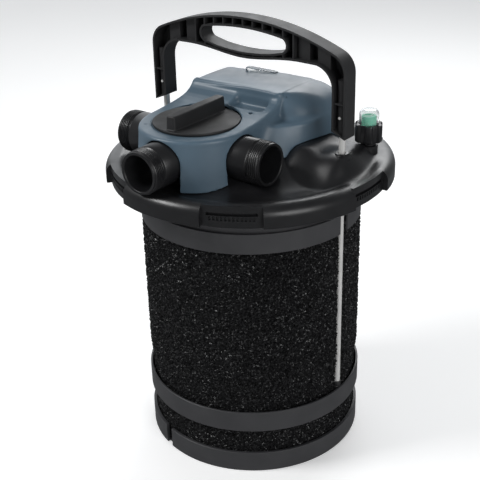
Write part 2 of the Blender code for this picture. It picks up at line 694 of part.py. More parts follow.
def make_head_cover():
    """Moulded shell over the valve, the lamp fittings and the ballast, cut to sit on the lid."""
    cover = prism("head_cover", lobe_outline(0.0), 425.0, LOBE_TOP, "z", "blue_grey")
    unite(cover, prism("hood", hood_outline(0.0), HOOD_FRONT, HOOD_BACK, "y"))
    unite(cover, prism("slope", slope_outline(0.0), HOOD_LEFT, 56.0, "x"))
    subtract(cover, prism("corner", corner_outline(0.0), SKIRT_TOP, 560.0, "z"))
    unite(cover, prism("skirt", skirt_outline(0.0), 425.5, SKIRT_TOP, "z"))
    inner = prism("inner", lobe_outline(COVER_WALL), 415.0, LOBE_TOP - COVER_WALL, "z")
    back = HOOD_BACK - COVER_WALL
    unite(inner, prism("room", hood_outline(COVER_WALL), HOOD_FRONT + COVER_WALL, back, "y"))
    ceiling = SKIRT_TOP - COVER_WALL
    subtract(inner, prism("corner", corner_outline(COVER_WALL), ceiling, 560.0, "z"))
    unite(inner, prism("skirt", skirt_outline(COVER_WALL), 415.5, ceiling, "z"))
    inner_lift = box("lift", (HOOD_LEFT + COVER_WALL, HOOD_RIGHT - COVER_WALL), (2.0, back), (410.0, 450.0))
    unite(inner, inner_lift)
    subtract(cover, inner)
    well = rod("well", (VALVE_X, VALVE_Y), DISC_RADIUS + 1.5, LOBE_TOP, 560.0, steps=ROUND)
    shaft = rod("shaft_hole", (VALVE_X, VALVE_Y), 12.0, 500.0, 515.0)
    subtract(cover, well, shaft)
    subtract(cover, lathe("deck", under_deck(0.6)))
    for direction, reach in (("left", 110.0), ("right", 110.0), ("front", 110.0)):
        subtract(cover, port_tube("arch", direction, ARCH_RADIUS, reach))
        subtract(cover, arch_leg(direction))
    subtract(cover, rod("gland_hole", (60.0, 490.0), 6.3, 80.0, 95.0, "y"))
    subtract(cover, rod("screw_hole", SCREW_PLACE, 2.4, 490.0, 530.0))
    subtract(cover, rod("screw_seat", SCREW_PLACE, 3.8, 508.0, 530.0))
    cover.data.shade_smooth()
    cover.data.set_sharp_from_angle(angle=math.radians(35.0))
    return cover


def arch_leg(direction):
    """The straight part of a port's arch, down to the lid."""
    z = (415.0, PORT_HEIGHT)
    if direction == "front":
        x = (VALVE_X - ARCH_RADIUS, VALVE_X + ARCH_RADIUS)
        return box("leg", x, (VALVE_Y - 110.0, VALVE_Y), z)
    sign = 1.0 if direction == "right" else -1.0
    x = sorted((VALVE_X, VALVE_X + sign * 110.0))
    return box("leg", x, (VALVE_Y - ARCH_RADIUS, VALVE_Y + ARCH_RADIUS), z)


def make_uv_window():
    """Low clear lens that shows the lamp's light, near the back of the roof."""
    low = HOOD_TOP + GAP
    outline = [(72.0, low), (86.0, low), (83.0, low + 3.0), (75.0, low + 3.0)]
    return prism("uv_window", outline, -62.0, -8.0, "x", "clear")


def make_ballast_box():
    return box("ballast_box", (-85.0, 62.0), (30.0, 80.0), (474.0, 528.0), "satin_black")


def make_cable_gland():
    profile = [(2.8, 84.0), (6.0, 84.0), (6.0, 88.3), (9.5, 88.3), (9.5, 96.0), (6.5, 104.0), (2.8, 104.0)]
    gland = lathe("cable_gland", profile, "black", steps=SMALL_ROUND)
    gland.rotation_euler = (-math.pi / 2.0, 0.0, 0.0)
    gland.location = (60.0 * MM, 0.0, 490.0 * MM)
    return gland


def make_lamp_parts():
    """Sleeve mount, clamp nut and seal, the quartz sleeve, the lamp inside it and its socket."""
    mount = [
        (15.4, 455.0),
        (LAMP_HOLE - GAP, 455.0),
        (LAMP_HOLE - GAP, CROWN + GAP),
        (30.0, CROWN + GAP),
        (30.0, CROWN + 4.0),
        (22.0, CROWN + 4.0),
        (22.0, 484.0),
        (20.5, 484.0),
        (20.5, 476.0),
        (15.4, 476.0),
    ]
    lathe("sleeve_mount", mount, "satin_black", steps=24)
    ring_seal("quartz_seal", (0.0, 0.0), 478.8, 17.8, 2.3, SMALL_ROUND)
    nut = [(22.3, 474.0), (27.0, 474.0), (27.0, 488.0), (15.4, 488.0), (15.4, 484.3), (22.3, 484.3)]
    lathe("quartz_clamp_nut", nut, "black", steps=24)
    dome = arc((0.0, 135.0), 15.0, -90.0, 0.0, 4)
    bowl = arc((0.0, 135.0), 13.4, 0.0, -90.0, 4)
    lathe("quartz_sleeve", dome + [(15.0, 483.0), (13.4, 483.0)] + bowl, "clear", steps=SMALL_ROUND)
    lamp = rod("uvc_lamp", (0.0, 0.0), 11.0, 462.0, 484.0, colour="white", steps=20)
    for dx in (-6.0, 6.0):
        unite(lamp, rod("tube", (dx, 0.0), 4.5, 150.0, 465.0, steps=12))
    unite(lamp, box("bridge", (-4.0, 4.0), (-2.0, 2.0), (152.0, 158.0)))
    socket = [(0.0, 484.3), (14.0, 484.3), (14.0, 504.0), (0.0, 504.0)]
    lathe("lamp_socket", socket, "white", steps=SMALL_ROUND)


def make_cover_screw():
    profile = [(0.0, 478.3), (2.0, 478.3), (2.0, 508.3), (3.4, 508.3), (3.4, 511.5), (0.0, 511.5)]
    return lathe("cover_screw", profile, "steel", SCREW_PLACE, 16)


def make_indicator():
    """Clear dome with a green float, held on its base by a lobed nut, over a light spring."""
    place = (GAUGE_X, GAUGE_Y)
    low = GAUGE_SEAT + GAP
    shelf = GAUGE_LIP - 4.3
    base = [
        (3.0, low),
        (11.0, low),
        (11.0, low + 4.0),
        (15.6, low + 7.0),
        (15.6, shelf),
        (12.2, shelf),
        (12.2, shelf - 7.0),
        (3.0, shelf - 7.0),
    ]
    lathe("indicator_base", base, "black", place, SMALL_ROUND)
    nut = [(16.0, GAUGE_NUT_BOTTOM), (18.5, GAUGE_NUT_BOTTOM), (18.5, GAUGE_NUT_TOP)]
    nut += [(14.4, GAUGE_NUT_TOP), (14.4, GAUGE_LIP), (16.0, GAUGE_LIP)]
    lobed = lathe("indicator_nut", nut, "black", place, SMALL_ROUND)
    for i in range(6):
        turn = math.radians(60.0 * i)
        lobe = (GAUGE_X + 17.6 * math.cos(turn), GAUGE_Y + 17.6 * math.sin(turn))
        unite(lobed, rod("lobe", lobe, 1.5, GAUGE_NUT_BOTTOM, GAUGE_NUT_TOP, steps=8))
    shell = [(15.7, shelf + GAP), (15.7, GAUGE_LIP - GAP), (14.0, GAUGE_LIP - GAP)]
    shell += arc((0.0, 499.0), 14.0, 0.0, 90.0, 6)
    cavity = arc((0.0, 499.0), 12.4, 90.0, 0.0, 6) + [(12.4, shelf + GAP)]
    lathe("indicator_dome", shell + cavity, "clear", place, SMALL_ROUND)
    foot = shelf + 1.8
    float_body = [(0.0, foot), (10.4, foot), (10.4, 500.0), (7.0, 504.0), (0.0, 504.0)]
    lathe("indicator_float", float_body, "green", place, SMALL_ROUND, (GAUGE_X, GAUGE_Y, foot))
    make_indicator_spring(place, shelf - 6.0)


def make_indicator_spring(place, low):
    """Coil of round wire under the float."""
    turns = 3
    per_turn = 12
    sides = 5
    wire = 0.7
    radius = 8.0
    pitch = 2.0
    bm = bmesh.new()
    rings = []
    for i in range(turns * per_turn + 1):
        angle = 2.0 * math.pi * i / per_turn
        out = Vector((math.cos(angle), math.sin(angle), 0.0))
        centre = Vector((place[0], place[1], low + pitch * i / per_turn)) + out * radius
        ring = []
        for k in range(sides):
            turn = 2.0 * math.pi * k / sides
            offset = out * (wire * math.cos(turn)) + Vector((0, 0, wire * math.sin(turn)))
            ring.append(bm.verts.new(centre + offset))
        rings.append(ring)
    for a, b in zip(rings, rings[1:]):
        for k in range(sides):
            m = (k + 1) % sides
            bm.faces.new((a[k], a[m], b[m], b[k]))
    bm.faces.new(rings[0][::-1])
    bm.faces.new(rings[-1])
    return finish("indicator_spring", bm, "steel")


def build():
    """Make every sub-part."""
    for obj in list(bpy.data.objects):
        bpy.data.objects.remove(obj)
    make_base_ring()
    make_base_lock_ring()
    make_center_tube()
    make_lower_foam()
    make_pressing_tray()
    make_upper_foam()
    make_top_collar()
    make_lid()
    ring_seal("lid_o_ring", (0.0, 0.0), SPIGOT_BOTTOM + 11.0, SPIGOT_RADIUS + 0.3, 2.4)
    make_rods()
    make_handle()
    make_valve_gasket()
    make_valve_body()
    make_valve_rotor()
    make_valve_shaft()
    ring_seal("shaft_seal", (VALVE_X, VALVE_Y), 503.0, 10.8, 1.6, SMALL_ROUND)
    make_knob()
    make_head_cover()
    make_uv_window()
    make_ballast_box()
    make_cable_gland()
    make_lamp_parts()
    make_cover_screw()
    make_indicator()


build()
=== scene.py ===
"""Looks of the pond filter head and its foam cartridge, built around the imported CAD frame.

Sizes are millimetres in this file and become metres when a mesh is made.
"""

import json
import math

import bmesh
import bpy
import numpy as np
from mathutils import Matrix, Vector

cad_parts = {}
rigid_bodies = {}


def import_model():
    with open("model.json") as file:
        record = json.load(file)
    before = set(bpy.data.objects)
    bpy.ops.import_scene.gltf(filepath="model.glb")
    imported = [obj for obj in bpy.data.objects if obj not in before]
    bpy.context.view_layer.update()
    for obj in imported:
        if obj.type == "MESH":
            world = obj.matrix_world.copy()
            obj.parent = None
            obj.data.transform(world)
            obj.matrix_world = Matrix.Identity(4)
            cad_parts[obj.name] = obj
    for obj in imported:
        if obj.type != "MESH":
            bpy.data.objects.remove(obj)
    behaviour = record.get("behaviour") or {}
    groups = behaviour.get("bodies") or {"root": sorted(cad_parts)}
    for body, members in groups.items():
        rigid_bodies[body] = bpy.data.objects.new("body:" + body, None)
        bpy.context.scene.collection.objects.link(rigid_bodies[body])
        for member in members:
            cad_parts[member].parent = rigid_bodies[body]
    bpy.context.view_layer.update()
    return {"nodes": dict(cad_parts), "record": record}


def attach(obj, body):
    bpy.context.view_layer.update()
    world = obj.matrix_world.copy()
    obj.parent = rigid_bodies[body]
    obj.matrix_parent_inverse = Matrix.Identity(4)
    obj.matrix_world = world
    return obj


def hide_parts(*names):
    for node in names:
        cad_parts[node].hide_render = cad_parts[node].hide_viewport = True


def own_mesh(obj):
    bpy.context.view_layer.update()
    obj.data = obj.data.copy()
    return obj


MM = 0.001

# Camera: where it stands, in degrees, metres and millimetres of lens.
AZIMUTH = 38.0
ELEVATION = 25.91
ROLL = -1.4956
DISTANCE = 1.4741
TARGET_HEIGHT = 0.3027
SIDE_STEP = -0.01766
LENS = 73.67

# Places in plan: valve axis, rods, indicator and cover screw.
VALVE = (-23.0, -88.0)
ROD_X = 154.5
GAUGE = (148.0, 80.0)
SCREW = (29.0, -35.0)

# Cartridge.
ROD_RADIUS = 4.6
ROD_BORE = 4.9
FOAM_RADIUS = 156.8
FOAM_PITCH = 2.0

# Lid: its deck rises from the valley to the crest at the rim and to the crown in the middle.
LID_RADIUS = 207.3
LID_BOTTOM = 416.3
LID_SHOULDER = 15.3
LID_WALL = 4.0
CREST = 446.0
VALLEY = 438.8
VALLEY_RADIUS = 168.0
CROWN = 467.0
BOSS_TOP = 473.0
BOSS_SPREAD = 62.0
RIDGE_SPREAD = 44.0
GAUGE_SEAT = 461.0
GLAND_BORE = 8.3

# Valve, its hose stubs and its knob.
PORT_HEIGHT = 474.0
STUB_RADIUS = 30.2
THREAD_ROOT = 28.4
STUB_BORE = 24.5
THREAD_PITCH = 2.9
DISC_RADIUS = 60.0
DISC_FOOT, DISC_TOP = 509.4, 513.4
GRIP_TOP = 533.0
GRIP_HALF = 54.5

# Head cover.
LOBE_TOP = 509.0
LOBE_RADIUS = 79.0
WELL_RADIUS = 61.4
COVER_WALL = 3.0
COVER_BACK = 88.0
ARCH_RADIUS = 32.0
COVER_SIDE = 100.0
SKIRT = 504.0
SCOOP_FLOOR = 513.6

# Handle.
HANDLE_TOP = 640.0
HANDLE_CURVE = 377.6
HANDLE_HALF_DEPTH = 12.5
HANDLE_WALL = 3.0

# Plan outlines of the cover's low skirt, counter-clockwise.
SKIRT_TOP = [(20.0, -42.0), (58.0, -40.0), (84.0, -12.0), (97.0, 2.0)]
SKIRT_TOP += [(104.0, 42.0), (103.0, 92.0), (20.0, 92.0)]
SKIRT_FOOT = [(20.0, -64.0), (64.0, -64.0), (91.0, -44.0), (100.0, -10.0)]
SKIRT_FOOT += [(103.0, 30.0), (102.0, 92.0), (20.0, 92.0)]

# Plastic colours: the darker and the lighter end of each one's faint clouding.
BLUE_DARK, BLUE_LIGHT = (0.080, 0.126, 0.168), (0.090, 0.141, 0.187)
BLACK_DARK, BLACK_LIGHT = (0.0075, 0.0075, 0.0085), (0.011, 0.011, 0.012)
SATIN_DARK, SATIN_LIGHT = (0.012, 0.012, 0.013), (0.017, 0.017, 0.018)
GREY_DARK, GREY_LIGHT = (0.034, 0.034, 0.037), (0.042, 0.042, 0.045)
GREEN_DARK, GREEN_LIGHT = (0.06, 0.66, 0.40), (0.08, 0.74, 0.47)
WHITE_DARK, WHITE_LIGHT = (0.70, 0.70, 0.68), (0.80, 0.80, 0.78)


# ---------------------------------------------------------------- small maths


def smooth(t):
    """Smooth step from 0 to 1, on numbers or arrays."""
    t = np.clip(t, 0.0, 1.0)
    return t * t * (3.0 - 2.0 * t)


def arc(centre, radius, start, end, steps):
    """Points on an arc, in degrees, both ends included."""
    angles = np.radians(np.linspace(start, end, steps + 1))
    return [(centre[0] + radius * math.cos(a), centre[1] + radius * math.sin(a)) for a in angles]


def smin(a, b, k):
    """Union of two distances with a fillet of about k."""
    h = np.clip(0.5 + 0.5 * (b - a) / k, 0.0, 1.0)
    return b + (a - b) * h - k * h * (1.0 - h)


def smax(a, b, k):
    """Intersection of two distances with a rounded edge of about k."""
    return -smin(-a, -b, k)


def deck_height(radius):
    """Height of the lid's upper face at a distance from its axis."""
    outer = VALLEY + (CREST - VALLEY) * smooth((radius - VALLEY_RADIUS) / 20.0)
    inner = CROWN - (CROWN - VALLEY) * smooth((radius - 70.0) / 88.0)
    return np.where(np.asarray(radius) > VALLEY_RADIUS, outer, inner)


# ---------------------------------------------------------------- mesh makers


def finish_mesh(name, bm, sharp=35.0, flat=False):
    """Turn a bmesh in millimetres into an object in metres."""
    bmesh.ops.scale(bm, vec=(MM, MM, MM), verts=bm.verts)
    mesh = bpy.data.meshes.new(name)
    bm.to_mesh(mesh)
    bm.free()
    obj = bpy.data.objects.new(name, mesh)
    bpy.context.scene.collection.objects.link(obj)
    if not flat:
        mesh.shade_smooth()
        mesh.set_sharp_from_angle(angle=math.radians(sharp))
    return obj


def from_arrays(name, points, faces, sharp=35.0, flat=False):
    """Mesh object from a list of points in millimetres and a list of faces."""
    mesh = bpy.data.meshes.new(name)
    mesh.from_pydata((np.asarray(points) * MM).tolist(), [], [list(map(int, f)) for f in faces])
    mesh.validate()
    obj = bpy.data.objects.new(name, mesh)
    bpy.context.scene.collection.objects.link(obj)
    if not flat:
        mesh.shade_smooth()
        mesh.set_sharp_from_angle(angle=math.radians(sharp))
    return obj


def ring_faces(rows, around):
    """Quads between the points of a grid that is closed both ways."""
    index = np.arange(rows * around).reshape(rows, around)
    below = np.roll(index, -1, 0)
    corners = [index, np.roll(index, -1, 1), np.roll(below, -1, 1), below]
    return np.stack(corners, -1).reshape(-1, 4)


def lathe(name, profile, steps=128, centre=(0.0, 0.0), shape=None, sharp=35.0):
    """Turn a closed (radius, height) outline; shape may move the points it is given."""
    profile = np.array(profile, float)
    angles = 2.0 * math.pi * np.arange(steps) / steps
    radius = profile[:, 0][:, None]
    points = np.stack(
        [
            centre[0] + radius * np.cos(angles)[None, :],
            centre[1] + radius * np.sin(angles)[None, :],
            np.repeat(profile[:, 1][:, None], steps, 1),
        ],
        -1,
    )
    if shape:
        points = shape(points, angles)
    bm = bmesh.new()
    verts = [bm.verts.new(p) for p in points.reshape(-1, 3)]
    for face in ring_faces(len(profile), steps):
        bm.faces.new([verts[i] for i in face])
    bmesh.ops.remove_doubles(bm, verts=bm.verts, dist=0.001)
    bmesh.ops.recalc_face_normals(bm, faces=bm.faces)
    return finish_mesh(name, bm, sharp)


def prism(name, outline, start, end, axis):
    """Extrude a closed outline along an axis; the outline holds the other two coordinates."""
    bm = bmesh.new()
    rows = []
    for level in (start, end):
        row = []
        for u, v in outline:
            place = {"x": (level, u, v), "y": (u, level, v), "z": (u, v, level)}[axis]
            row.append(bm.verts.new(place))
        rows.append(row)
    for i in range(len(outline)):
        j = (i + 1) % len(outline)
        bm.faces.new((rows[0][i], rows[0][j], rows[1][j], rows[1][i]))
    bm.faces.new(rows[0])
    bm.faces.new(rows[1][::-1])
    bmesh.ops.recalc_face_normals(bm, faces=bm.faces)
    return finish_mesh(name, bm)


def box(name, x, y, z):
    """A block between the two limits given for each axis."""
    outline = [(x[0], y[0]), (x[1], y[0]), (x[1], y[1]), (x[0], y[1])]
    return prism(name, outline, z[0], z[1], "z")


def rod(name, centre, radius, start, end, axis="z", steps=48):
    """A round bar along an axis."""
    return prism(name, arc(centre, radius, 0.0, 360.0, steps)[:-1], start, end, axis)


def sector(name, angle, half_angle, radii, z, steps=12):
    """A piece of a ring about the vertical axis."""
    outer = arc((0, 0), radii[1], angle - half_angle, angle + half_angle, steps)
    inner = arc((0, 0), radii[0], angle + half_angle, angle - half_angle, steps)
    return prism(name, outer + inner, z[0], z[1], "z")


def closed(mesh):
    """Whether every edge of a mesh has two faces."""
    bm = bmesh.new()
    bm.from_mesh(mesh)
    result = len(bm.faces) > 0 and all(len(edge.link_faces) == 2 for edge in bm.edges)
    bm.free()
    return result


def boolean(target, tool, operation):
    """Apply one Boolean and remove the tool; the exact solver goes first."""
    for solver in ("EXACT", "MANIFOLD"):
        cut = target.modifiers.new("boolean", "BOOLEAN")
        cut.operation = operation
        cut.solver = solver
        cut.object = tool
        bpy.context.view_layer.update()
        graph = bpy.context.evaluated_depsgraph_get()
        mesh = bpy.data.meshes.new_from_object(target.evaluated_get(graph))
        target.modifiers.clear()
        if closed(mesh):
            break
    target.data = mesh
    bpy.data.objects.remove(tool)


def subtract(target, *tools):
    """Cut tools out of an object."""
    for tool in tools:
        boolean(target, tool, "DIFFERENCE")


def unite(target, *tools):
    """Join tools to an object."""
    for tool in tools:
        boolean(target, tool, "UNION")


def bevel(obj, width, segments=2, angle=40.0):
    """Round the sharp edges by a width in millimetres, then shade the piece smooth."""
    mod = obj.modifiers.new("bevel", "BEVEL")
    mod.width = width * MM
    mod.segments = segments
    mod.limit_method = "ANGLE"
    mod.angle_limit = math.radians(angle)
    mod.use_clamp_overlap = True
    mod.harden_normals = True
    obj.data.shade_smooth()
    obj.data.set_sharp_from_angle(angle=math.radians(35.0))


def surface(name, distance, low, high, step, passes=2):
    """Closed mesh of the surface where a distance field is zero, by surface nets."""
    axes = [np.arange(low[k] - step, high[k] + 2.0 * step, step) for k in range(3)]
    grid = np.meshgrid(*axes, indexing="ij")
    value = distance(*grid)
    inside = value < 0.0
    total = np.zeros([n - 1 for n in value.shape] + [3])
    hits = np.zeros([n - 1 for n in value.shape])
    corners = [(i, j, k) for i in (0, 1) for j in (0, 1) for k in (0, 1)]
    shape = np.array(value.shape) - 1

    def at(array, corner):
        return array[tuple(slice(corner[m], corner[m] + shape[m]) for m in range(3))]

    for a in corners:
        for axis in range(3):
            if a[axis]:
                continue
            b = tuple(1 if m == axis else a[m] for m in range(3))
            va, vb = at(value, a), at(value, b)
            cross = at(inside, a) != at(inside, b)
            share = np.where(cross, va / np.where(cross, va - vb, 1.0), 0.0)
            for m in range(3):
                place = share if m == axis else float(a[m])
                total[..., m] += np.where(cross, place, 0.0)
            hits += cross
    used = hits > 0
    number = -np.ones(hits.shape, int)
    number[used] = np.arange(used.sum())
    cell = np.argwhere(used)
    points = (cell + total[used] / hits[used][:, None]) * step + np.array([a[0] for a in axes])
    quads = []
    for axis in range(3):
        u, v = (axis + 1) % 3, (axis + 2) % 3
        ahead = [slice(None)] * 3
        ahead[axis] = slice(1, None)
        here = [slice(None)] * 3
        here[axis] = slice(None, -1)
        change = np.argwhere(inside[tuple(here)] != inside[tuple(ahead)])
        change = change[(change[:, u] > 0) & (change[:, v] > 0)]
        back_u, back_v = np.zeros(3, int), np.zeros(3, int)
        back_u[u], back_v[v] = 1, 1
        ring = [change - back_u - back_v, change - back_v, change, change - back_u]
        quad = np.stack([number[tuple(c.T)] for c in ring], -1)
        out = inside[tuple(change.T)]
        quad = np.where(out[:, None], quad, quad[:, ::-1])
        quads.append(quad)
    for _ in range(passes):
        points = settle(distance, points, step)
    return from_arrays(name, points, np.concatenate(quads))


def settle(distance, points, step):
    """Move points onto the zero surface of the field, no further than one step."""
    x, y, z = points.T
    h = 0.05
    slope = np.stack(
        [
            distance(x + h, y, z) - distance(x - h, y, z),
            distance(x, y + h, z) - distance(x, y - h, z),
            distance(x, y, z + h) - distance(x, y, z - h),
        ],
        -1,
    ) / (2.0 * h)
    size = np.maximum((slope**2).sum(-1), 0.2)
    move = -(distance(x, y, z) / size)[:, None] * slope
    length = np.maximum(np.linalg.norm(move, axis=1), 1e-9)
    return points + move * np.minimum(1.0, 0.6 * step / length)[:, None]


# ---------------------------------------------------------------- materials


def new_material(name, colour, roughness, metallic=0.0):
    """A material with a Principled shader, and helpers to add nodes to it."""
    mat = bpy.data.materials.new(name)
    mat.use_nodes = True
    shader = mat.node_tree.nodes["Principled BSDF"]
    shader.inputs["Base Color"].default_value = (*colour, 1.0)
    shader.inputs["Roughness"].default_value = roughness
    shader.inputs["Metallic"].default_value = metallic
    return mat, mat.node_tree, shader


def noise(tree, scale, detail=3.0, stretch=None):
    """Noise on object coordinates, in features per metre, and a stretch along the axes."""
    place = tree.nodes.new("ShaderNodeTexCoord")
    node = tree.nodes.new("ShaderNodeTexNoise")
    node.inputs["Scale"].default_value = scale
    node.inputs["Detail"].default_value = detail
    source = place.outputs["Object"]
    if stretch:
        mapping = tree.nodes.new("ShaderNodeMapping")
        mapping.inputs["Scale"].default_value = stretch
        tree.links.new(source, mapping.inputs["Vector"])
        source = mapping.outputs["Vector"]
    tree.links.new(source, node.inputs["Vector"])
    return node.outputs["Fac"]


def ranged(tree, value, low, high, start=0.3, end=0.7):
    """Map a value's middle range onto low to high."""
    node = tree.nodes.new("ShaderNodeMapRange")
    node.inputs["From Min"].default_value = start
    node.inputs["From Max"].default_value = end
    node.inputs["To Min"].default_value = low
    node.inputs["To Max"].default_value = high
    tree.links.new(value, node.inputs["Value"])
    return node.outputs["Result"]


def tinted(tree, shader, value, dark, light):
    """Base colour between two colours by a value."""
    ramp = tree.nodes.new("ShaderNodeValToRGB")
    ramp.color_ramp.elements[0].position = 0.3
    ramp.color_ramp.elements[0].color = (*dark, 1.0)
    ramp.color_ramp.elements[1].position = 0.7
    ramp.color_ramp.elements[1].color = (*light, 1.0)
    tree.links.new(value, ramp.inputs["Fac"])
    tree.links.new(ramp.outputs["Color"], shader.inputs["Base Color"])


def bumped(tree, shader, value, depth, strength=1.0):
    """Bump of a depth in millimetres."""
    node = tree.nodes.new("ShaderNodeBump")
    node.inputs["Distance"].default_value = depth * MM
    node.inputs["Strength"].default_value = strength
    tree.links.new(value, node.inputs["Height"])
    tree.links.new(node.outputs["Normal"], shader.inputs["Normal"])


def moulded(name, dark, light, roughness, spread, grain, depth):
    """Moulded plastic: faint clouding, uneven gloss and a fine mould grain."""
    mat, tree, shader = new_material(name, dark, roughness)
    tinted(tree, shader, noise(tree, 30.0, 4.0), dark, light)
    gloss = ranged(tree, noise(tree, 55.0, 5.0), roughness - spread, roughness + spread)
    tree.links.new(gloss, shader.inputs["Roughness"])
    bumped(tree, shader, noise(tree, grain, 2.0), depth)
    return mat


def foam_material():
    """Open-cell foam: black strands with small glints where a strand is smooth, and painted glints
    in the lighter base colour of the raised cells.
    """
    mat, tree, shader = new_material("foam_black", (0.006, 0.006, 0.007), 0.5)
    cells = noise(tree, 480.0, 2.0)
    # Base colour lighter on the raised cells: painted glints on the strands.
    tinted(tree, shader, cells, (0.0005, 0.0005, 0.0006), (0.012, 0.012, 0.013))
    glints = noise(tree, 330.0, 1.0)
    gloss = ranged(tree, glints, 0.9, 0.10, 0.48, 0.66)
    shine = ranged(tree, glints, 0.12, 0.95, 0.52, 0.66)
    tree.links.new(gloss, shader.inputs["Roughness"])
    tree.links.new(shine, shader.inputs["Specular IOR Level"])
    bumped(tree, shader, cells, 1.2)
    return mat


def steel_material():
    """Polished steel rod with faint drawing lines along it."""
    mat, tree, shader = new_material("steel_polished", (0.86, 0.85, 0.83), 0.3, 0.55)
    lines = noise(tree, 500.0, 2.0, (1.0, 1.0, 0.02))
    tree.links.new(ranged(tree, lines, 0.26, 0.40), shader.inputs["Roughness"])
    tinted(tree, shader, noise(tree, 40.0, 3.0), (0.82, 0.81, 0.79), (0.90, 0.89, 0.87))
    bumped(tree, shader, lines, 0.01)
    return mat


def clear_material():
    """Clear moulded plastic with faint waves."""
    mat, tree, shader = new_material("clear_plastic", (0.93, 0.95, 0.95), 0.06)
    shader.inputs["Transmission Weight"].default_value = 0.92
    shader.inputs["IOR"].default_value = 1.35
    tree.links.new(ranged(tree, noise(tree, 60.0, 2.0), 0.04, 0.12), shader.inputs["Roughness"])
    bumped(tree, shader, noise(tree, 90.0, 2.0), 0.03)
    return mat


def make_materials():
    """Every material, by the record's slot or a name of its own."""
    return {
        "black": moulded("black_gloss", BLACK_DARK, BLACK_LIGHT, 0.34, 0.04, 900.0, 0.012),
        "satin_black": moulded("black_satin", SATIN_DARK, SATIN_LIGHT, 0.56, 0.05, 1100.0, 0.03),
        "collar": moulded("grey_black", GREY_DARK, GREY_LIGHT, 0.46, 0.04, 1100.0, 0.03),
        "blue_grey": moulded("blue_grey", BLUE_DARK, BLUE_LIGHT, 0.40, 0.04, 1000.0, 0.02),
        "foam": foam_material(),
        "steel": steel_material(),
        "rubber": moulded("rubber_black", BLACK_DARK, SATIN_LIGHT, 0.7, 0.08, 800.0, 0.03),
        "clear": clear_material(),
        "green": moulded("green_float", GREEN_DARK, GREEN_LIGHT, 0.38, 0.05, 900.0, 0.02),
        "white": moulded("white_plastic", WHITE_DARK, WHITE_LIGHT, 0.42, 0.05, 900.0, 0.02),
    }


def piece(obj, mats, slot, body, nodes=(), paint=None):
    """Give a new piece its material, body and the CAD nodes it stands for."""
    obj.data.materials.clear()
    obj.data.materials.append(mats[paint or slot])
    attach(obj, body)
    if nodes:
        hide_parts(*nodes)
    return obj


# ---------------------------------------------------------------- cartridge


def foam_ring(name, inner, outer, low, high, bulge, groove, seed):
    """Open-cell foam: a fine grid whose points are thrown in and out, faceted so it glints.

    bulge is how far the foam swells out above its foot, and groove the depth of the rods' notches.
    """
    rng = np.random.default_rng(seed)
    around = int(2.0 * math.pi * outer / FOAM_PITCH)
    up = int((high - low) / FOAM_PITCH)
    angles = 2.0 * math.pi * np.arange(around) / around
    side = [(outer, z) for z in np.linspace(low, high, up + 1)]
    top = [(r, high) for r in np.linspace(outer, inner, 12)[1:]]
    core = [(inner, z) for z in np.linspace(high, low, 8)[1:]]
    under = [(r, low) for r in np.linspace(inner, outer, 12)[1:-1]]
    profile = np.array(side + top + core + under)
    points = np.zeros((len(profile), around, 3))
    radius = np.repeat(profile[:, 0][:, None], around, 1)
    height = np.repeat(profile[:, 1][:, None], around, 1)
    rows = len(side)
    throw = rng.normal(0.0, 1.0, (rows, around))
    above_foot = smooth((height[:rows] - low - 44.0) / 30.0)
    swell = above_foot * smooth((high - height[:rows] - 8.5) / 6.0)
    limit = 1.5 - 0.6 * (1.0 - swell)
    radius[:rows] += bulge * swell + np.clip(1.1 * throw - 0.5, -3.2, limit)
    height[1 : rows - 1] += rng.uniform(-0.7, 0.7, (rows - 2, around))
    turn = angles[None, :] + rng.uniform(-0.7, 0.7, radius.shape) / outer
    points[..., 0] = radius * np.cos(turn)
    points[..., 1] = radius * np.sin(turn)
    points[..., 2] = height
    if groove:
        for sign in (-1.0, 1.0):
            reach = points[..., 0] * sign
            dy = np.abs(points[..., 1])
            limit = ROD_X - groove + 1.6 * np.maximum(dy - 4.0, 0.0)
            near = (dy < 10.0) & (reach - ROD_X > -groove - 3.0) & (reach > limit)
            points[..., 0] = np.where(near, sign * limit, points[..., 0])
    return from_arrays(name, points.reshape(-1, 3), ring_faces(len(profile), around), flat=True)


def make_foams(mats):
    """The two foam rings; the upper one, which is squeezed as the handle is pulled, gets a mesh of
    its own.
    """
    lower = foam_ring("lower_foam_skin", 57.0, FOAM_RADIUS, 4.4, 71.2, 1.0, 0.0, 11)
    piece(lower, mats, "foam", "head", ["lower_foam"])
    upper = foam_ring("upper_foam_skin", 49.0, FOAM_RADIUS, 75.95, 365.6, 3.2, 6.6, 7)
    piece(upper, mats, "foam", "head", ["upper_foam"])
    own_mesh(upper)


def make_collar(mats):
    """Collar at the top of the foam: skirt, narrower neck and a plate with holes."""
    profile = [(157.9, 358.4), (160.4, 358.4), (161.0, 359.0), (161.0, 387.4)]
    profile += [(160.4, 388.0), (157.0, 388.0), (157.0, 434.5), (153.9, 434.5)]
    profile += [(153.9, 384.0), (157.9, 384.0), (157.9, 370.0), (48.6, 370.0)]
    profile += [(48.6, 366.0), (157.9, 366.0)]
    collar = lathe("collar_skirt", profile, 192)
    for sign in (-1, 1):
        x = sorted((sign * 147.5, sign * 170.0))
        subtract(collar, box("slot", x, (-9.0, 9.0), (350.0, 440.0)))
    for i in range(8):
        turn = math.radians(22.5 + 45.0 * i)
        place = (102.0 * math.cos(turn), 102.0 * math.sin(turn))
        subtract(collar, rod("hole", place, 22.0, 360.0, 375.0))
    bevel(collar, 0.5)
    piece(collar, mats, "satin_black", "head", ["top_collar"], paint="collar")


